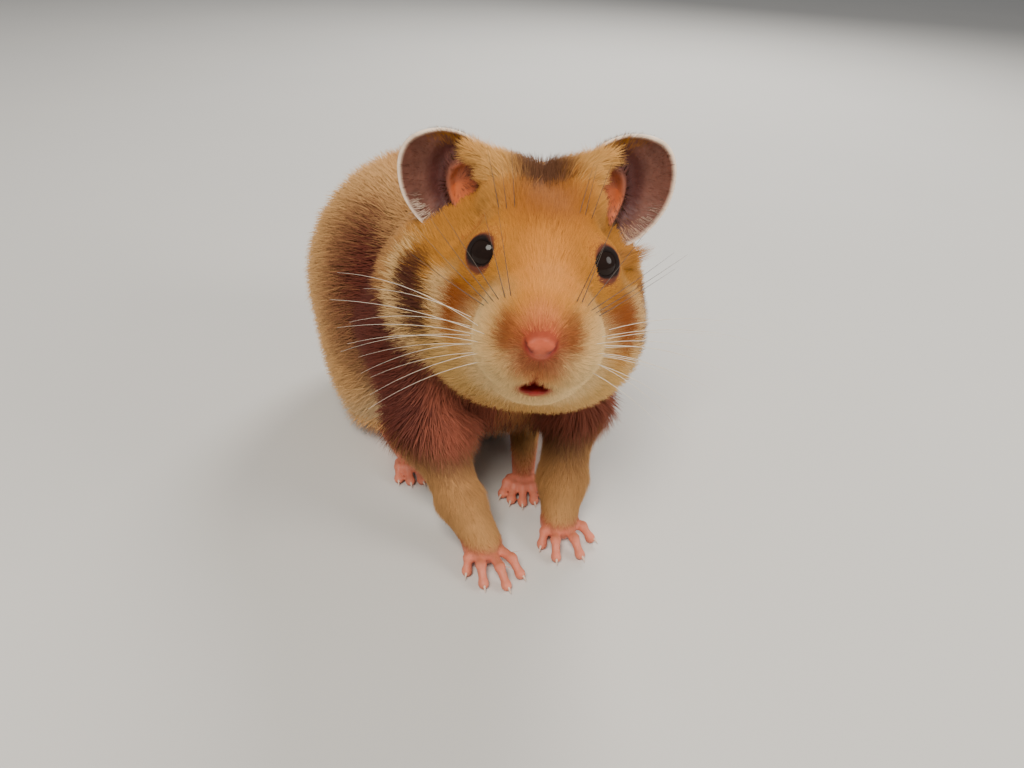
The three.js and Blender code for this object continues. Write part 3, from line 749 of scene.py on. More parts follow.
fur_tone = build_fur_tone()
skin_grain = build_skin_grain()


def new_material(name, **constants):
    material = bpy.data.materials.new(name)
    material.use_nodes = True
    tree = material.node_tree
    shader = tree.nodes["Principled BSDF"]
    for label, value in constants.items():
        shader.inputs[label.replace("_", " ")].default_value = value
    return material, tree, shader


def stored(tree, name, output="Color"):
    return add_node(tree, "ShaderNodeAttribute", attribute_name=name).outputs[output]


def use_group(tree, group, **values):
    node = tree.nodes.new("ShaderNodeGroup")
    node.node_tree = group
    for label, value in values.items():
        socket = node.inputs[label.replace("_", " ")]
        if isinstance(value, bpy.types.NodeSocket):
            tree.links.new(value, socket)
        else:
            socket.default_value = value
    return node


def bump(tree, shader, height, strength, distance):
    node = add_node(tree, "ShaderNodeBump", Strength=strength, Distance=distance)
    tree.links.new(height, node.inputs["Height"])
    tree.links.new(node.outputs["Normal"], shader.inputs["Normal"])


def coat_material(name):
    material, tree, shader = new_material(
        name, Roughness=0.7, Specular_IOR_Level=0.12, Sheen_Weight=0.03, Sheen_Roughness=0.4
    )
    length = stored(tree, "length", "Fac")
    tone = use_group(
        tree,
        fur_tone,
        Marking=stored(tree, "marking"),
        Along=stored(tree, "along", "Fac"),
        Hair=stored(tree, "hair", "Fac"),
        Root_shade=reckon(tree, "MULTIPLY_ADD", length, 0.20, 0.25),
        Ticking=reckon(tree, "MULTIPLY_ADD", length, 0.25, 0.10),
    )
    tree.links.new(tone.outputs["Color"], shader.inputs["Base Color"])
    return material


def skin_material():
    material, tree, shader = new_material(
        "skin",
        Specular_IOR_Level=0.3,
        Subsurface_Weight=0.12,
        Subsurface_Radius=(0.0012, 0.0005, 0.0003),
        Subsurface_Scale=1.0,
    )
    marking, bare = stored(tree, "marking"), stored(tree, "bare", "Fac")
    # The skin under the coat is darkened by this multiply as painted shade for the coat's shadow on it;
    # bare skin keeps its marking.
    under = colour_mix(tree, 1.0, marking, (0.64, 0.52, 0.44, 1), "MULTIPLY")
    surface = colour_mix(tree, bare, under, marking)
    grain = use_group(tree, skin_grain, Color=surface, Scale=1500.0, Mottle=0.28)
    tree.links.new(grain.outputs["Color"], shader.inputs["Base Color"])
    bump(tree, shader, grain.outputs["Height"], 0.45, 0.00012)
    rough = reckon(tree, "MULTIPLY_ADD", bare, -0.32, 0.8)
    tree.links.new(rough, shader.inputs["Roughness"])
    return material


def ear_material():
    material, tree, shader = new_material(
        "ear skin",
        Roughness=0.55,
        Specular_IOR_Level=0.35,
        Subsurface_Weight=0.08,
        Subsurface_Radius=(0.0016, 0.0006, 0.0004),
        Subsurface_Scale=1.0,
    )
    grain = use_group(tree, skin_grain, Color=stored(tree, "marking"), Scale=1100.0, Mottle=0.35)
    tree.links.new(grain.outputs["Color"], shader.inputs["Base Color"])
    bump(tree, shader, grain.outputs["Height"], 0.4, 0.00015)
    return material


def eye_material():
    material, tree, shader = new_material("eye", Roughness=0.07, Specular_IOR_Level=0.14)
    depth = noise(tree, 700.0, 2.0)
    tone = colour_mix(tree, depth, (0.010, 0.006, 0.005, 1), (0.022, 0.012, 0.009, 1))
    tree.links.new(tone, shader.inputs["Base Color"])
    return material


def horn_material(name, base, tip, roughness):
    material, tree, shader = new_material(name, Roughness=roughness)
    along = stored(tree, "along", "Fac")
    tone = colour_mix(tree, along, base, tip)
    streak = noise(tree, 3000.0, 2.0)
    tone = colour_mix(tree, reckon(tree, "MULTIPLY", streak, 0.25), tone, (0.5, 0.4, 0.3, 1))
    tree.links.new(tone, shader.inputs["Base Color"])
    return material


# ---- camera, light and floor ----
CAMERA_PLACE = (-38.33, -105.96, 105.0)
CAMERA_TURN, CAMERA_DOWN, CAMERA_ROLL = 18.0, 32.6, 3.0  # degrees
SENSOR_WIDTH = 36.0
FOCAL_LENGTH = 36.0 * 790.0 / 1024.0


def build_camera():
    turn, down, roll = map(math.radians, (CAMERA_TURN, CAMERA_DOWN, CAMERA_ROLL))
    ahead = np.array([math.sin(turn), math.cos(turn), 0])
    right = np.array([math.cos(turn), -math.sin(turn), 0])
    up = np.array([0, 0, 1.0])
    look = ahead * math.cos(down) - up * math.sin(down)
    above = ahead * math.sin(down) + up * math.cos(down)
    c, s = math.cos(roll), math.sin(roll)
    place = in_metres(CAMERA_PLACE)
    matrix = Matrix.Identity(4)
    for k, axis in enumerate((right * c + above * s, -right * s + above * c, -look, place)):
        matrix.col[k][:3] = axis
    data = bpy.data.cameras.new("camera")
    data.sensor_width = SENSOR_WIDTH
    data.lens = FOCAL_LENGTH
    data.clip_start = 0.005
    camera = bpy.data.objects.new("camera", data)
    camera.matrix_world = matrix
    bpy.context.scene.collection.objects.link(camera)
    bpy.context.scene.camera = camera


LIT_POINT = (0.0, -0.02, 0.035)  # the middle of the chest
LAMPS = (
    ("key", (-0.22, -0.36, 0.62), 0.30, 5.4, (1.0, 0.94, 0.85)),
    ("fill", (0.45, -0.30, 0.30), 0.28, 1.8, (1.0, 0.97, 0.92)),
    ("rim", (0.30, 0.45, 0.42), 0.25, 3.6, (1.0, 0.98, 0.95)),
)


def soft_light(name, place, size, power, colour):
    data = bpy.data.lights.new(name, "AREA")
    data.shape, data.size, data.energy, data.color = "DISK", size, power, colour
    lamp = bpy.data.objects.new(name, data)
    lamp.location = place
    way = Vector(LIT_POINT) - Vector(place)
    lamp.rotation_euler = way.to_track_quat("-Z", "Y").to_euler()
    bpy.context.scene.collection.objects.link(lamp)


def build_studio():
    mesh = bpy.data.meshes.new("floor")
    mesh.from_pydata([(-3, -3, 0), (3, -3, 0), (3, 3, 0), (-3, 3, 0)], [], [(0, 1, 2, 3)])
    floor = bpy.data.objects.new("floor", mesh)
    bpy.context.scene.collection.objects.link(floor)
    material, tree, shader = new_material("floor", Roughness=0.9)
    shade = noise(tree, 12.0, 4.0)
    tone = colour_mix(tree, shade, (0.60, 0.585, 0.55, 1), (0.64, 0.62, 0.585, 1))
    tree.links.new(tone, shader.inputs["Base Color"])
    mesh.materials.append(material)
    world = bpy.data.worlds.new("studio")
    world.use_nodes = True
    sky = world.node_tree.nodes["Background"]
    sky.inputs["Color"].default_value = (0.86, 0.89, 0.94, 1)
    sky.inputs["Strength"].default_value = 0.27
    bpy.context.scene.world = world
    for lamp in LAMPS:
        soft_light(*lamp)


build_camera()
build_studio()

# ---- skin ----
FACE_FRONT = 4.0  # the fine net covers the head in front of this, in the head's frame


def in_face(p):
    return (to_head(p)[..., 1] < FACE_FRONT) & (p[..., 2] > 33.0)


def in_forefeet(p):
    return (p[..., 2] < 8.5) & (p[..., 1] < 5.0)


def in_hindfeet(p):
    low = p[..., 2] < 4.4
    right = (p[..., 1] < 26) & (p[..., 0] < -10)
    left = (p[..., 1] < 15) & (p[..., 1] > 5.0) & (p[..., 0] > -6) & (p[..., 0] < 11)
    return low & (right | left)


def in_rest(p):
    return ~(in_face(p) | in_forefeet(p) | in_hindfeet(p))


def build_skin():
    zones = [
        (in_face, (-24, -27, 33), (24, 16, 72), 0.42),
        (in_forefeet, (-18, -17, -1), (15, 7, 9.2), 0.36),
        (in_hindfeet, (-27, 3.5, -1), (11, 27, 5.2), 0.42),
        (in_rest, (-38, -28, -3), (36, 94, 72), 0.9),
    ]
    points, quads, base = [], [], 0
    for inside, low, high, cell in zones:
        found, faces = net(skin, low, high, cell)
        kept = inside(found)
        faces = faces[kept[faces].any(1)]
        used, again = np.unique(faces, return_inverse=True)
        points.append(found[used])
        quads.append(again.reshape(faces.shape) + base)
        base += len(used)
    points, quads = np.concatenate(points), np.concatenate(quads)
    _, g = slope(skin, points)
    normals = unit(g)
    points[:, 2] = np.maximum(points[:, 2], 0.02)
    piece = make_mesh("skin", points, quads)
    paint(piece, marking=markings(points, normals), bare=bare_skin(points))
    piece.data.materials.append(skin_material())
    return piece, points, quads, normals


skin_piece, skin_points, skin_quads, skin_normals = build_skin()
FLESH = ["head", "nose", "neck", "trunk", "tail"]
FLESH += [part + side for part in ("haunch_", "foreleg_", "forepaw_", "hindfoot_") for side in SIDES]
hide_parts(*FLESH)
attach(skin_piece, "root")


# ---- ears ----
EAR_FOLD = linear(206, 108, 62)
EAR_INSIDE = linear(116, 74, 62)
# EAR_DARK: painted shade in the groove round the ear's bowl and at the bowl's deep centre; it also
# darkens the front hairs towards the rim.
EAR_DARK = linear(84, 44, 40)
# The ear's pale rim and rim hairs are partly painted rim light; at the lobe this colour is the real tuft
# of white hair.
EAR_RIM_LIGHT_AND_WHITE = linear(246, 220, 196)
EAR_BACK = linear(176, 122, 88)


EAR_COATS = (("back", 5200, 1.03, 0.9), ("front", 2600, 0.97, 0.88))  # hairs, place and reach
EAR_HAIR_WIDTH = 0.095
LOBE_HAIR = {"right": 1.0, "left": 0.45}  # how white and long the tuft at the lobe is


def ear_frame(side):
    """Centre of the cup and its unit directions: up, out of its opening, and across."""
    centre, up = EARS[side]
    up = unit(up)
    face = np.array([0.28 * np.sign(centre[0]), -0.93, 0.1])
    open_way = unit(face - up * (face @ up))
    return centre, up, open_way, np.cross(up, open_way)


def bowl_distance(side, out, turn):
    """1 on the fold round the ear's inner bowl, which lies low and towards the crown."""
    across = -np.sign(EARS[side][0][0]) * out * np.cos(turn)
    return np.hypot((across - 0.28) / 0.52, (out * np.sin(turn) + 0.36) / 0.56)


def ear_surface(side, angle, turn, scale):
    """Points of the cup: angle runs from its back to the rim, turn goes round it."""
    centre, up, open_way, wide = ear_frame(side)
    out = angle / EAR_LIMIT
    w = EAR_WIDTH * scale * np.sin(angle) * np.cos(turn)
    a = EAR_LENGTH * scale * np.sin(angle) * np.sin(turn)
    o = 4.0 - EAR_DEPTH * scale * np.cos(angle)
    w = w * (1.0 - 0.06 * smooth(0.3, 1.0, np.sin(turn)) * out)
    fold = np.exp(-(((out - 0.55) / 0.16) ** 2)) * smooth(0.2, -0.6, np.sin(turn))
    o = o + 0.45 * fold + 0.18 * np.sin(5 * turn + 1.3) * out**2 * smooth(0.95, 0.5, out)
    bowl = bowl_distance(side, out, turn)
    groove = np.exp(-(((bowl - 1.35) / 0.2) ** 2)) * smooth(0.95, 0.8, out)
    o = o + 0.9 * np.exp(-(((bowl - 1.0) / 0.13) ** 2)) - 0.5 * groove
    inward = -np.sign(centre[0]) * np.cos(turn)
    o = o - 2.6 * smooth(0.2, 1.0, out) * smooth(0.1, 0.9, inward)
    h = centre + w[..., None] * wide + a[..., None] * up + o[..., None] * open_way
    return from_head(h)


def build_ear(side, material):
    rings, around = 26, 84
    out = np.linspace(0.003, 1.0, rings)
    half = (0.42 - 0.24 * out) / EAR_DEPTH
    turn = np.linspace(0, 2 * math.pi, around, endpoint=False)
    grid_out, grid_turn = np.meshgrid(out, turn, indexing="ij")
    back = ear_surface(side, grid_out * EAR_LIMIT, grid_turn, 1 + half[:, None])
    front = ear_surface(side, grid_out * EAR_LIMIT, grid_turn, 1 - half[:, None])[::-1]
    edge = ear_surface(side, np.full(around, 1.012 * EAR_LIMIT), turn, 1.0)[None]
    points = np.concatenate([back, edge, front]).reshape(-1, 3)
    level = np.concatenate([out, [1.01], out[::-1]])
    rows = len(level)
    piece = make_mesh("ear_skin_" + side, points, tube_quads(rows, around))
    grid_level, grid_turn = np.meshgrid(level, turn, indexing="ij")
    facing = np.repeat(np.arange(rows) >= rings, around)
    low = smooth(0.3, -0.8, np.sin(grid_turn)).ravel()
    grid_level = grid_level.ravel()
    inside = np.broadcast_to(EAR_INSIDE, points.shape).copy()
    bowl = bowl_distance(side, np.minimum(grid_level, 1.0), grid_turn.ravel())
    # Painted shade in the groove round the bowl.
    inside = lay(inside, EAR_DARK, smooth(1.0, 1.2, bowl) * smooth(1.9, 1.5, bowl))
    inside = lay(inside, EAR_FOLD, smooth(1.15, 0.9, bowl) * (0.5 + 0.5 * low))
    # Painted shade at the bowl's deep centre.
    inside = lay(inside, EAR_DARK, 0.6 * smooth(0.5, 0.1, bowl))
    # Pale rim inside and outside, partly painted rim light.
    inside = lay(inside, EAR_RIM_LIGHT_AND_WHITE, smooth(0.93, 1.0, grid_level))
    outside = lay(np.broadcast_to(EAR_BACK, points.shape).copy(), EAR_RIM_LIGHT_AND_WHITE, smooth(0.9, 1.0, grid_level))
    paint(piece, marking=np.where(facing[:, None], inside, outside))
    piece.data.materials.append(material)
    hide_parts("ear_" + side)
    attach(piece, "root")


ear_skin = ear_material()
for side in SIDES:
    build_ear(side, ear_skin)


def ear_hair_roots(side, out, turn, scale):
    """Places on the cup, the way to its rim there and the way off its surface."""
    place = ear_surface(side, out * EAR_LIMIT, turn, scale)
    ahead = unit(ear_surface(side, (out + 0.01) * EAR_LIMIT, turn, scale) - place)
    round_it = unit(ear_surface(side, out * EAR_LIMIT, turn + 0.01, scale) - place)
    return place, ahead, unit(np.cross(ahead, round_it))


def build_ear_coat(side, material):
    inner_side = -np.sign(EARS[side][0][0])
    for half, count, scale, reach in EAR_COATS:
        out, turn = reach * np.sqrt(random.random(count)), random.uniform(0, 2 * math.pi, count)
        place, ahead, off = ear_hair_roots(side, out, turn, scale)
        centre = from_head(EARS[side][0] + 3.5 * ear_frame(side)[2])
        inward = np.sign(((centre - place) * off).sum(-1, keepdims=True))
        off = off * (inward if half == "front" else -inward)
        ahead = unit(mix(ahead, ear_frame(side)[1] @ HEAD_AXES.T, 0.25))
        medial = smooth(0.0, 0.9, inner_side * np.cos(turn))
        rim = smooth(0.86, 1.0, out)
        if half == "back":
            lengths = mix(2.4, 0.9, smooth(0.5, 0.9, out))
            # The back hairs grow paler towards the rim, partly as painted rim light.
            colours = lay(np.broadcast_to(GOLD, place.shape).copy(), EAR_RIM_LIGHT_AND_WHITE, smooth(0.5, 0.85, out))
            keep = random.random(count) < 0.98
        else:
            low = smooth(0.0, -0.9, np.sin(turn))
            lengths = mix(mix(1.5, 3.2, np.maximum(medial, low) * smooth(0.3, 0.9, out)), 0.9, rim)
            colours = lay(np.broadcast_to(EAR_INSIDE, place.shape).copy(), EAR_DARK, 0.5 * rim)
            colours = lay(colours, GOLD, np.maximum(medial, 0.7 * low) * smooth(0.35, 0.8, out))
            lobe = smooth(0.75, 0.95, -inner_side * np.cos(turn - 0.3 * inner_side))
            lobe *= smooth(0.5, 0.75, out) * LOBE_HAIR[side]
            colours = lay(colours, EAR_RIM_LIGHT_AND_WHITE, 0.85 * lobe)
            lengths = mix(lengths, 2.4, lobe)
            keep = random.random(count) < 0.2 + 0.8 * np.maximum(np.maximum(medial, low), 0.7 * lobe)
        colours = colours * random.uniform(0.75, 1.2, (count, 1))
        lengths = lengths * random.uniform(0.7, 1.3, count)
        wrap = np.stack([turn / (2 * math.pi), out], -1)
        rise = mix(0.32, 0.12, rim) * lengths
        tufts = (place, off, ahead, lengths, np.full(count, EAR_HAIR_WIDTH), rise, colours)
        tuft_mesh("ear_hair_%s_%s" % (half, side), False, tufts, keep, wrap, material, 0.1)


# ---- eyes ----
def build_eye(side, material):
    sign = 1 if side == "left" else -1
    flip = np.array([sign, 1, 1])
    rings, around = 40, 56
    facing = EYE_FACING * flip
    u = unit(np.cross(facing, (0, 0, 1)))
    v = np.cross(facing, u)
    a = np.linspace(0.0, math.pi, rings)[:, None]
    t = np.linspace(0, 2 * math.pi, around, endpoint=False)[None]
    radius = EYE_RADIUS + 0.12 * np.exp(-((a / 0.75) ** 2)) + 0 * t
    h = (radius * np.cos(a))[..., None] * facing
    wide = (radius * np.sin(a) * np.cos(t))[..., None] * u
    high = (radius * np.sin(a) * np.sin(t))[..., None] * v
    points = from_head((h + wide + high).reshape(-1, 3) + EYE_CENTRE * flip)
    piece = make_mesh("eyeball_" + side, points, tube_quads(rings, around)[:, [0, 3, 2, 1]])
    piece.data.materials.append(material)
    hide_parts("eye_" + side)
    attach(piece, "root")


eye_gloss = eye_material()
for side in SIDES:
    build_eye(side, eye_gloss)


# ---- tubes: whiskers and claws ----
def build_tubes(name, paths, radii, sides, material):
    """Tapered tubes along many paths of the same number of points, as one mesh."""
    paths = np.asarray(paths, float)
    count, steps = paths.shape[:2]
    along = unit(np.gradient(paths, axis=1))
    u = unit(np.cross(along, [0.13, 0.31, 0.94]))
    v = np.cross(along, u)
    a = np.linspace(0, 2 * math.pi, sides, endpoint=False)
    r = np.asarray(radii, float)[..., None, None]
    ring = u[:, :, None] * np.cos(a)[:, None] + v[:, :, None] * np.sin(a)[:, None]
    points = paths[:, :, None] + ring * np.broadcast_to(r, (count, steps, 1, 1))
    piece = make_mesh(name, points.reshape(-1, 3), tube_quads(steps, sides, count))
    share = np.broadcast_to(np.linspace(0, 1, steps)[None, :, None], (count, steps, sides))
    paint(piece, along=share.ravel())
    piece.data.materials.append(material)
    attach(piece, "root")


WHISKER_STEPS = 12


def whisker(root, way, length, droop):
    """Points of one hair from its root, in the head's frame, bent by its own weight."""
    way = unit(way)
    s = np.linspace(0, 1, WHISKER_STEPS)[:, None]
    sag = np.array([0, 0.35, -1.0])
    return from_head(np.asarray(root) + way * s * length + sag * droop * length * s**2)


def taper(radius):
    return np.linspace(radius, 0.012, WHISKER_STEPS)


def build_whiskers():
    pale, dark = [], []
    for sign in (-1, 1):
        for row in range(4):
            for k in range(3):
                root = np.array([7.6 + 1.1 * k, -17.8 + 1.9 * k + 0.4 * row, -4.6 - 1.7 * row + 0.2 * k])
                root[0] *= sign
                way = np.array([sign * 0.95, -0.26 + 0.20 * k, 0.44 - 0.20 * row])
                way = way + random.normal(0, 0.08, 3)
                length = random.uniform(16, 24) * (1.0 - 0.07 * row)
                pale.append(whisker(root, way, length, random.uniform(0.22, 0.42)))
        for k in range(6):
            root = np.array([sign * (4.4 + 0.75 * k), -15.2 + 0.35 * k, -0.2 - 0.45 * k])
            way = np.array([sign * (0.15 + 0.17 * k), 0.35, 0.75 - 0.07 * k]) + random.normal(0, 0.07, 3)
            dark.append(whisker(root, way, random.uniform(11, 16), -0.10 + 0.06 * random.random()))
        for k in range(3):
            root = np.array([sign * (4.6 + 1.1 * k), 1.5 + 0.8 * k, 4.6 - 0.2 * k])
            way = np.array([sign * (0.10 + 0.12 * k), 0.3, 0.95]) + random.normal(0, 0.08, 3)
            dark.append(whisker(root, way, random.uniform(8, 12), 0.05))
    white_hair = horn_material("pale whisker", (0.80, 0.66, 0.48, 1), (0.88, 0.80, 0.68, 1), 0.35)
    black_hair = horn_material("dark whisker", (0.016, 0.009, 0.006, 1), (0.03, 0.018, 0.012, 1), 0.5)
    build_tubes("whiskers_pale", pale, taper(0.052), 5, white_hair)
    build_tubes("whiskers_dark", dark, taper(0.068), 5, black_hair)


CLAW_RADII = (0.32, 0.30, 0.26, 0.21, 0.15, 0.09, 0.03)


def build_claws():
    paths = []
    for toes in ALL_TOES.values():
        for _, joint, tip in toes:
            ahead = unit((tip - joint) * np.array([1, 1, 0]))
            s = np.linspace(0, 1, len(CLAW_RADII))[:, None]
            start = tip + ahead * 0.45 + np.array([0, 0, 0.22])
            paths.append(start + ahead * 1.35 * s + np.array([0, 0, 1]) * (0.20 * s - 0.88 * s**2))
    horn = horn_material("claw horn", (0.66, 0.38, 0.28, 1), (0.72, 0.56, 0.44, 1), 0.35)
    build_tubes("claws", paths, CLAW_RADII, 8, horn)


build_whiskers()
build_claws()


# ---- coat ----
def lie_of_coat(p, normals):
    """Unit directions along the skin that the hair points to."""
    h = to_head(p)
    behind = (p - NECK_POINT) @ NECK_NORMAL
    from_nose = np.stack([h[..., 0] * 0.85, h[..., 1] + 24.0, (h[..., 2] + 4.0) * 0.7], -1)
    way = unit(from_nose)
    for side, sign in (("right", -1), ("left", 1)):
        near = smooth(3.0, 0.3, limb(h, *EAR_RIDGES[side]))
        way = mix(way, unit([0.7 * sign, 0.65, 0.1]), near[..., None])
    to_eye = EYE_CENTRE * np.where(h[..., :1] < 0, (-1, 1, 1), (1, 1, 1)) - h
    far = np.linalg.norm(to_eye, axis=-1, keepdims=True)
    onto_it = np.maximum((unit(way) * to_eye / far).sum(-1, keepdims=True), 0)
    way = unit(way) - 0.95 * smooth(8.5, 5.5, far) * onto_it * to_eye / far
    head_way = unit(way) @ HEAD_AXES.T
    aside = p[..., 0] - BODY_MIDDLE
    down = -0.22 - 0.5 * smooth(8, 24, np.abs(aside))
    body_way = np.stack([0.012 * aside, np.ones(len(p)), down], -1)
    chest = smooth(18, 6, p[..., 1]) * smooth(40, 30, p[..., 2])
    body_way = mix(body_way, np.array([0.0, 0.25, -1.0]), chest[..., None])
    way = mix(head_way, unit(body_way), smooth(-3, 8, behind)[..., None])
    for side in SIDES:
        _, elbow, _, palm, _ = FORELEGS[side]
        near = smooth(6.0, 0.5, forearm(p, side)) * smooth(26, 18, p[..., 2])
        way = mix(way, unit(np.subtract(palm, elbow)), near[..., None])
        heel, front, radii = HINDFEET[side]
        near = smooth(3.5, 0.5, limb(p, heel, front, *radii)) * smooth(10, 6, p[..., 2])
        way = mix(way, unit(np.subtract(front, heel)), near[..., None])
    near = smooth(3.0, 0.5, tail_field(p)) * smooth(74, 79, p[:, 1])
    way = mix(way, unit(TAIL_WAY), near[:, None])
    way = way - normals * (way * normals).sum(-1, keepdims=True)
    return unit(way)


def scatter_roots(count):
    """Root points over the skin, closer together where the coat is short."""
    tris = np.concatenate([skin_quads[:, [0, 1, 2]], skin_quads[:, [0, 2, 3]]])
    a, b, c = (skin_points[tris[:, k]] for k in range(3))
    middle = (a + b + c) / 3
    area = np.linalg.norm(np.cross(b - a, c - a), axis=-1) / 2
    depth = in_chunks(coat_depth, middle)
    density = 9.5 + 48.0 * np.exp(-(depth - 0.4) / 1.05)
    bald = in_chunks(bare_skin, middle) * mix(1.0, 0.75, smooth(6, 2, middle[:, 2]))
    density *= np.clip(1 - bald, 0.0, 1)
    density *= mix(1.0, 0.45, smooth(9, 3, middle[:, 2]))
    at_head = to_head(middle)
    sides = mirrored(at_head)
    density *= 1 - patch(at_head, (0, -22.4, -3.8), (3.0, 2.3, 2.3), 0.2)
    density *= 1 - patch(at_head, MOUTH, (2.7, 3.8, 1.95), 0.2)
    from_eye = sides - EYE_CENTRE
    in_socket = (from_eye @ GAZE > 1.0) & (np.linalg.norm(from_eye, axis=-1) < 4.9)
    density *= smooth(0.7, 1.2, bare_lid(sides))
    across = np.linalg.norm(np.cross(from_eye, GAZE), axis=-1)
    density *= ~(in_socket & (across < LID_ACROSS))
    density *= smooth(0.5, 1.2, middle[:, 2])
    density *= 1 - smooth(0.9, 0.5, feet(middle)) * smooth(5.0, 3.2, middle[:, 2])
    weight = area * density
    weight /= weight.sum()
    chosen = random.choice(len(tris), size=count, p=weight)
    r1, r2 = np.sqrt(random.random(count)), random.random(count)
    share = np.stack([1 - r1, r1 * (1 - r2), r1 * r2], -1)[..., None]
    corners = tris[chosen]
    points = (skin_points[corners] * share).sum(1)
    normals = unit((skin_normals[corners] * share).sum(1))
    return points, normals


STRAIGHT_TUFT = np.array([[0, 1, 3], [1, 2, 3], [2, 0, 3]])
BENT_TUFT = np.array(
    [[0, 1, 4], [0, 4, 3], [1, 2, 5], [1, 5, 4], [2, 0, 3], [2, 3, 5], [3, 4, 6], [4, 5, 6], [5, 3, 6]]
)
UV_PATCH = 0.0015  # half the width of a tuft's patch on the unwrap
TUFT_SINK = 0.12  # depth of a tuft's foot in the skin
TUFT_KEEL = 0.8  # height of a tuft's third edge, for half its width
LOCK_HASH = np.array([12.9898, 78.233, 37.719])  # turns a cell's place into an uneven number
LONGEST_FIRM_TUFT = (4.2, 7.0)  # lengths between which tufts begin to bend
SHOULDER_END, FLANK_END = 32, 52  # y where the pieces of the body's coat meet


def spread(wrap):
    """Places on the unwrap, spread over the whole map."""
    low, high = wrap.min(0), wrap.max(0)
    return 0.01 + 0.98 * (wrap - low) / np.maximum(high - low, 1e-6)


def tuft_ring(line, side, lift, half):
    """The three edges of a tuft at one height along it."""
    return [line + side * half, line - side * half, line + lift * half * TUFT_KEEL]


def tuft_mesh(name, bent, tufts, chosen, wrap, material, pull=0.32):
    """The chosen ones of three-sided tufts as one mesh; wrap holds each root's place on the unwrap."""
    roots, normals, way, lengths, widths, rise, colours = (values[chosen] for values in tufts)
    wrap = spread(wrap[chosen])
    n = len(roots)
    cell = np.maximum(1.1, lengths * 0.22)
    home = np.floor(roots / cell[:, None] + 0.5)
    key = (home * LOCK_HASH).sum(-1)
    shake = np.stack([np.modf(np.sin(key * f) * 43758.5453)[0] for f in (1.0, 1.7, 2.3)], -1)
    centre = (home + 0.45 * shake) * cell[:, None]
    to_lock = centre - roots
    to_lock -= normals * (to_lock * normals).sum(-1, keepdims=True)
    across = np.cross(normals, way)
    way = unit(way + (random.normal(0, 0.16, (n, 1)) * across + shake[:, :1] * 0.16 * across))
    angle = np.arcsin(np.clip(rise / lengths, 0.06, 0.85)) * random.uniform(0.7, 1.25, n)
    steep, flat = angle * 1.3, angle * 0.72
    first = way * np.cos(steep)[:, None] + normals * np.sin(steep)[:, None]
    second = way * np.cos(flat)[:, None] + normals * np.sin(flat)[:, None]
    tips = roots + (first + second) * lengths[:, None] * 0.5 + to_lock * pull
    tips[:, 2] = np.maximum(tips[:, 2], 0.12 + 0.3 * random.random(n))
    side = unit(np.cross(first, normals))
    lift = np.cross(side, first)
    half = widths[:, None] * 0.5
    rings = tuft_ring(roots - normals * TUFT_SINK, side, lift, half)
    shading = [side, -side, lift]
    rows = [0, 0, 0]
    if bent:
        middle = roots + first * lengths[:, None] * 0.5 + to_lock * pull * 0.45
        middle[:, 2] = np.maximum(middle[:, 2], 0.25)
        rings += tuft_ring(middle, side, lift, half * 0.8)
        shading += shading
        rows += [0.5, 0.5, 0.5]
    points = np.stack(rings + [tips], 1)
    shading = shading + [lift * 0.6]
    rows = np.array(rows + [1.0])
    corners = len(rows)
    pattern = BENT_TUFT if bent else STRAIGHT_TUFT
    faces = (np.arange(n)[:, None, None] * corners + pattern).reshape(-1, 3)
    piece = make_mesh(name, points.reshape(-1, 3), faces)
    shading = unit(normals[:, None] * 0.85 + np.stack(shading, 1) * 0.45)
    piece.data.normals_split_custom_set_from_vertices(shading.reshape(-1, 3))
    paint(
        piece,
        marking=np.repeat(colours, corners, 0),
        along=np.tile(rows, n),
        hair=np.repeat(random.random(n), corners),
        length=np.repeat(np.clip((lengths - 2.0) / 7.0, 0, 1), corners),
    )
    spot = np.stack([np.where(np.arange(corners) % 3 == 0, -1, 1) * (1 - rows), rows * 2], -1)
    places = (wrap[:, None] + spot * UV_PATCH).reshape(-1, 2)
    layer = piece.data.uv_layers.new(name="OFBake")
    layer.data.foreach_set("uv", places[faces.ravel()].astype(np.float32).ravel())
    piece.data.materials.append(material)
    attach(piece, "root")


def unwrap(q):
    """Angle round the long axis and angle from it, both from 0 to 1."""
    round_it = np.arctan2(q[:, 0], q[:, 2]) / (2 * math.pi) + 0.5
    from_it = np.arctan2(np.hypot(q[:, 0], q[:, 2]), q[:, 1]) / math.pi
    return np.stack([round_it, from_it], -1)


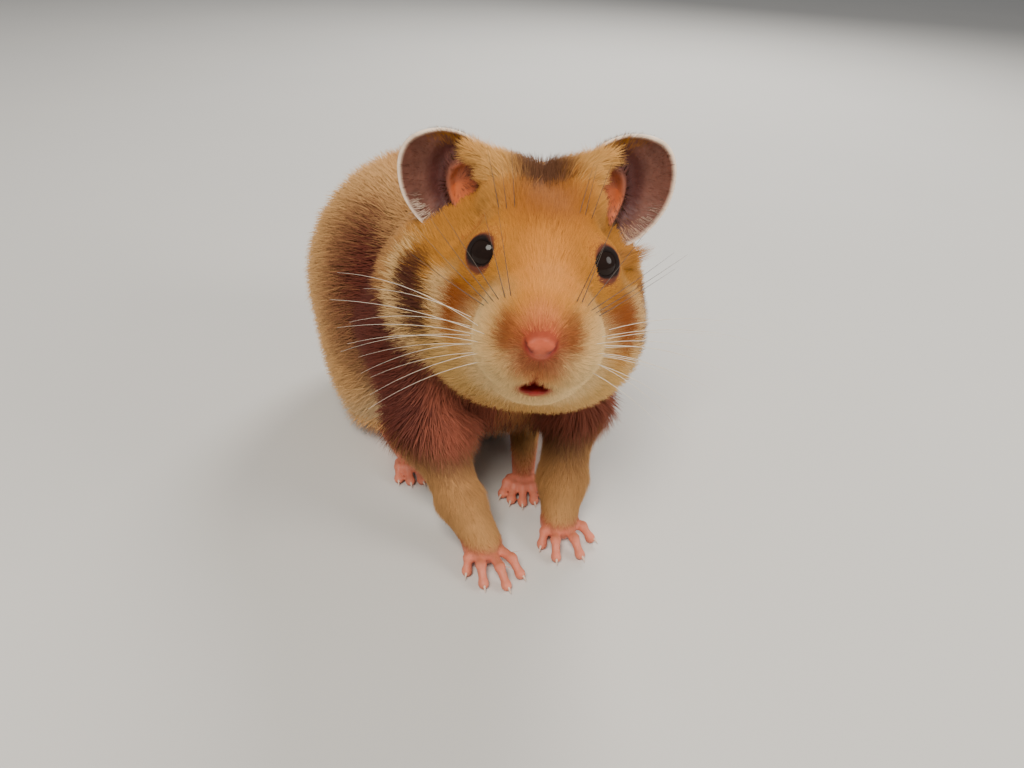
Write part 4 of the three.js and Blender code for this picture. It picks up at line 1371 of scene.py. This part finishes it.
def grow_tufts(roots, normals):
    """The size, way and colour of every tuft, and which of them are long enough to bend."""
    depth = in_chunks(coat_depth, roots)
    h = to_head(roots)
    behind = (roots - NECK_POINT) @ NECK_NORMAL
    lengths = (1.15 + 2.0 * depth) * random.uniform(0.75, 1.25, TUFTS)
    from_mouth = np.linalg.norm(h - MOUTH - np.array([0, 0, 1.0]), axis=-1)
    lengths *= mix(0.5, 1.0, smooth(3.0, 6.0, from_mouth))
    lengths *= mix(1.0, 0.45, smooth(1.0, 0.3, in_chunks(feet, roots)) * smooth(9, 4, roots[:, 2]))
    lengths *= mix(0.25, 1.0, smooth(1.0, 4.6, lid_ring(mirrored(h))))
    widths = (0.085 + 0.034 * depth) * random.uniform(0.8, 1.25, TUFTS)
    rise = depth * COAT_LIFT
    before_ear = patch(mirrored(h), (12.5, 6.5, 2.0), (5.5, 6.5, 5.5), 1.0)
    rise *= 1 - 0.6 * before_ear
    lengths *= 1 - 0.2 * before_ear
    fringe = smooth(-17, -22, h[:, 2]) * smooth(8, 2, behind) * smooth(-14, -6, h[:, 1])
    lengths *= 1 + 0.9 * fringe * random.random(TUFTS)
    under_chest = smooth(26, 18, roots[:, 2]) * smooth(30, 20, roots[:, 1])
    under_chest *= smooth(0.5, 2.5, np.minimum(forearm(roots, "right"), forearm(roots, "left")))
    lengths *= 1 + 0.8 * under_chest
    loose = patch(h, LOOSE_TUFT, (2.6, 2.6, 1.7), 0.6) * (random.random(TUFTS) < 0.6)
    lengths = mix(lengths, random.uniform(4.0, 6.0, TUFTS), loose)
    rise = mix(rise, 0.62 * lengths, loose)
    outwards = unit(np.array([1.0, 0.1, 0.25])) @ HEAD_AXES.T
    way = unit(mix(lie_of_coat(roots, normals), outwards, 0.75 * loose[:, None]))
    soft = roots + way * (lengths * 0.3)[:, None]
    soft = soft + random.normal(0, 0.16, roots.shape) * (lengths * (1 + 1.8 * fringe))[:, None]
    colours = markings(soft, normals, hair=True)
    long_one = lengths > random.uniform(*LONGEST_FIRM_TUFT, TUFTS)
    return (roots, normals, way, lengths, widths, rise, colours), long_one


def coat_zones(roots, normals):
    """The pieces of the coat: name, tufts in it, places on an unwrap, and slot."""
    x, y, z = roots.T
    h = to_head(roots)
    behind = (roots - NECK_POINT) @ NECK_NORMAL
    on_left = h[:, 0] > 0
    left_body = x > BODY_MIDDLE
    on_forearm = np.minimum(forearm(roots, "right"), forearm(roots, "left")) < 0.5
    leg = ((on_forearm & (z < 22)) | ((z < 5) & (y < 30))) & (behind > 0)
    head = (behind <= 0) & ~leg
    face = head & (h[:, 1] < 0)
    body = ~head & ~leg
    head_wrap = unwrap(h - np.array([0, 2.0, -8.0]))
    body_wrap = unwrap(roots - np.array([BODY_MIDDLE, 38.0, 28.0]))
    round_leg = np.arctan2(normals[:, 0], -normals[:, 1]) / (2 * math.pi) + 0.5
    leg_wrap = np.stack([(round_leg + left_body + 2 * (y > 6)) / 4, z / 24], -1)
    zones = []
    for name, inside, left, wrap, slot in (
        ("face", face, on_left, head_wrap, "coat_head"),
        ("crown", head & ~face, on_left, head_wrap, "coat_head"),
        ("shoulder", body & (y < SHOULDER_END), left_body, body_wrap, "coat_shoulder"),
        ("flank", body & (y >= SHOULDER_END) & (y < FLANK_END), left_body, body_wrap, "coat_back"),
        ("rump", body & (y >= FLANK_END), left_body, body_wrap, "coat_back"),
    ):
        zones.append((name + "_right", inside & ~left, wrap, slot))
        zones.append((name + "_left", inside & left, wrap, slot))
    return zones + [("legs", leg, leg_wrap, "coat_foreleg")]


def build_coat():
    roots, normals = scatter_roots(TUFTS)
    tufts, long_one = grow_tufts(roots, normals)
    fur = coat_material("coat")
    for side in SIDES:
        build_ear_coat(side, fur)
    for name, inside, wrap, slot in coat_zones(roots, normals):
        for length, bent in (("short", False), ("long", True)):
            most = MOST_TRIANGLES // len(BENT_TUFT if bent else STRAIGHT_TUFT)
            own = np.nonzero(inside & (long_one == bent))[0]
            for part in range(0, len(own), most):
                label = "coat_%s_%s_%d" % (name, length, part // most)
                tuft_mesh(label, bent, tufts, own[part : part + most], wrap, fur)


build_coat()
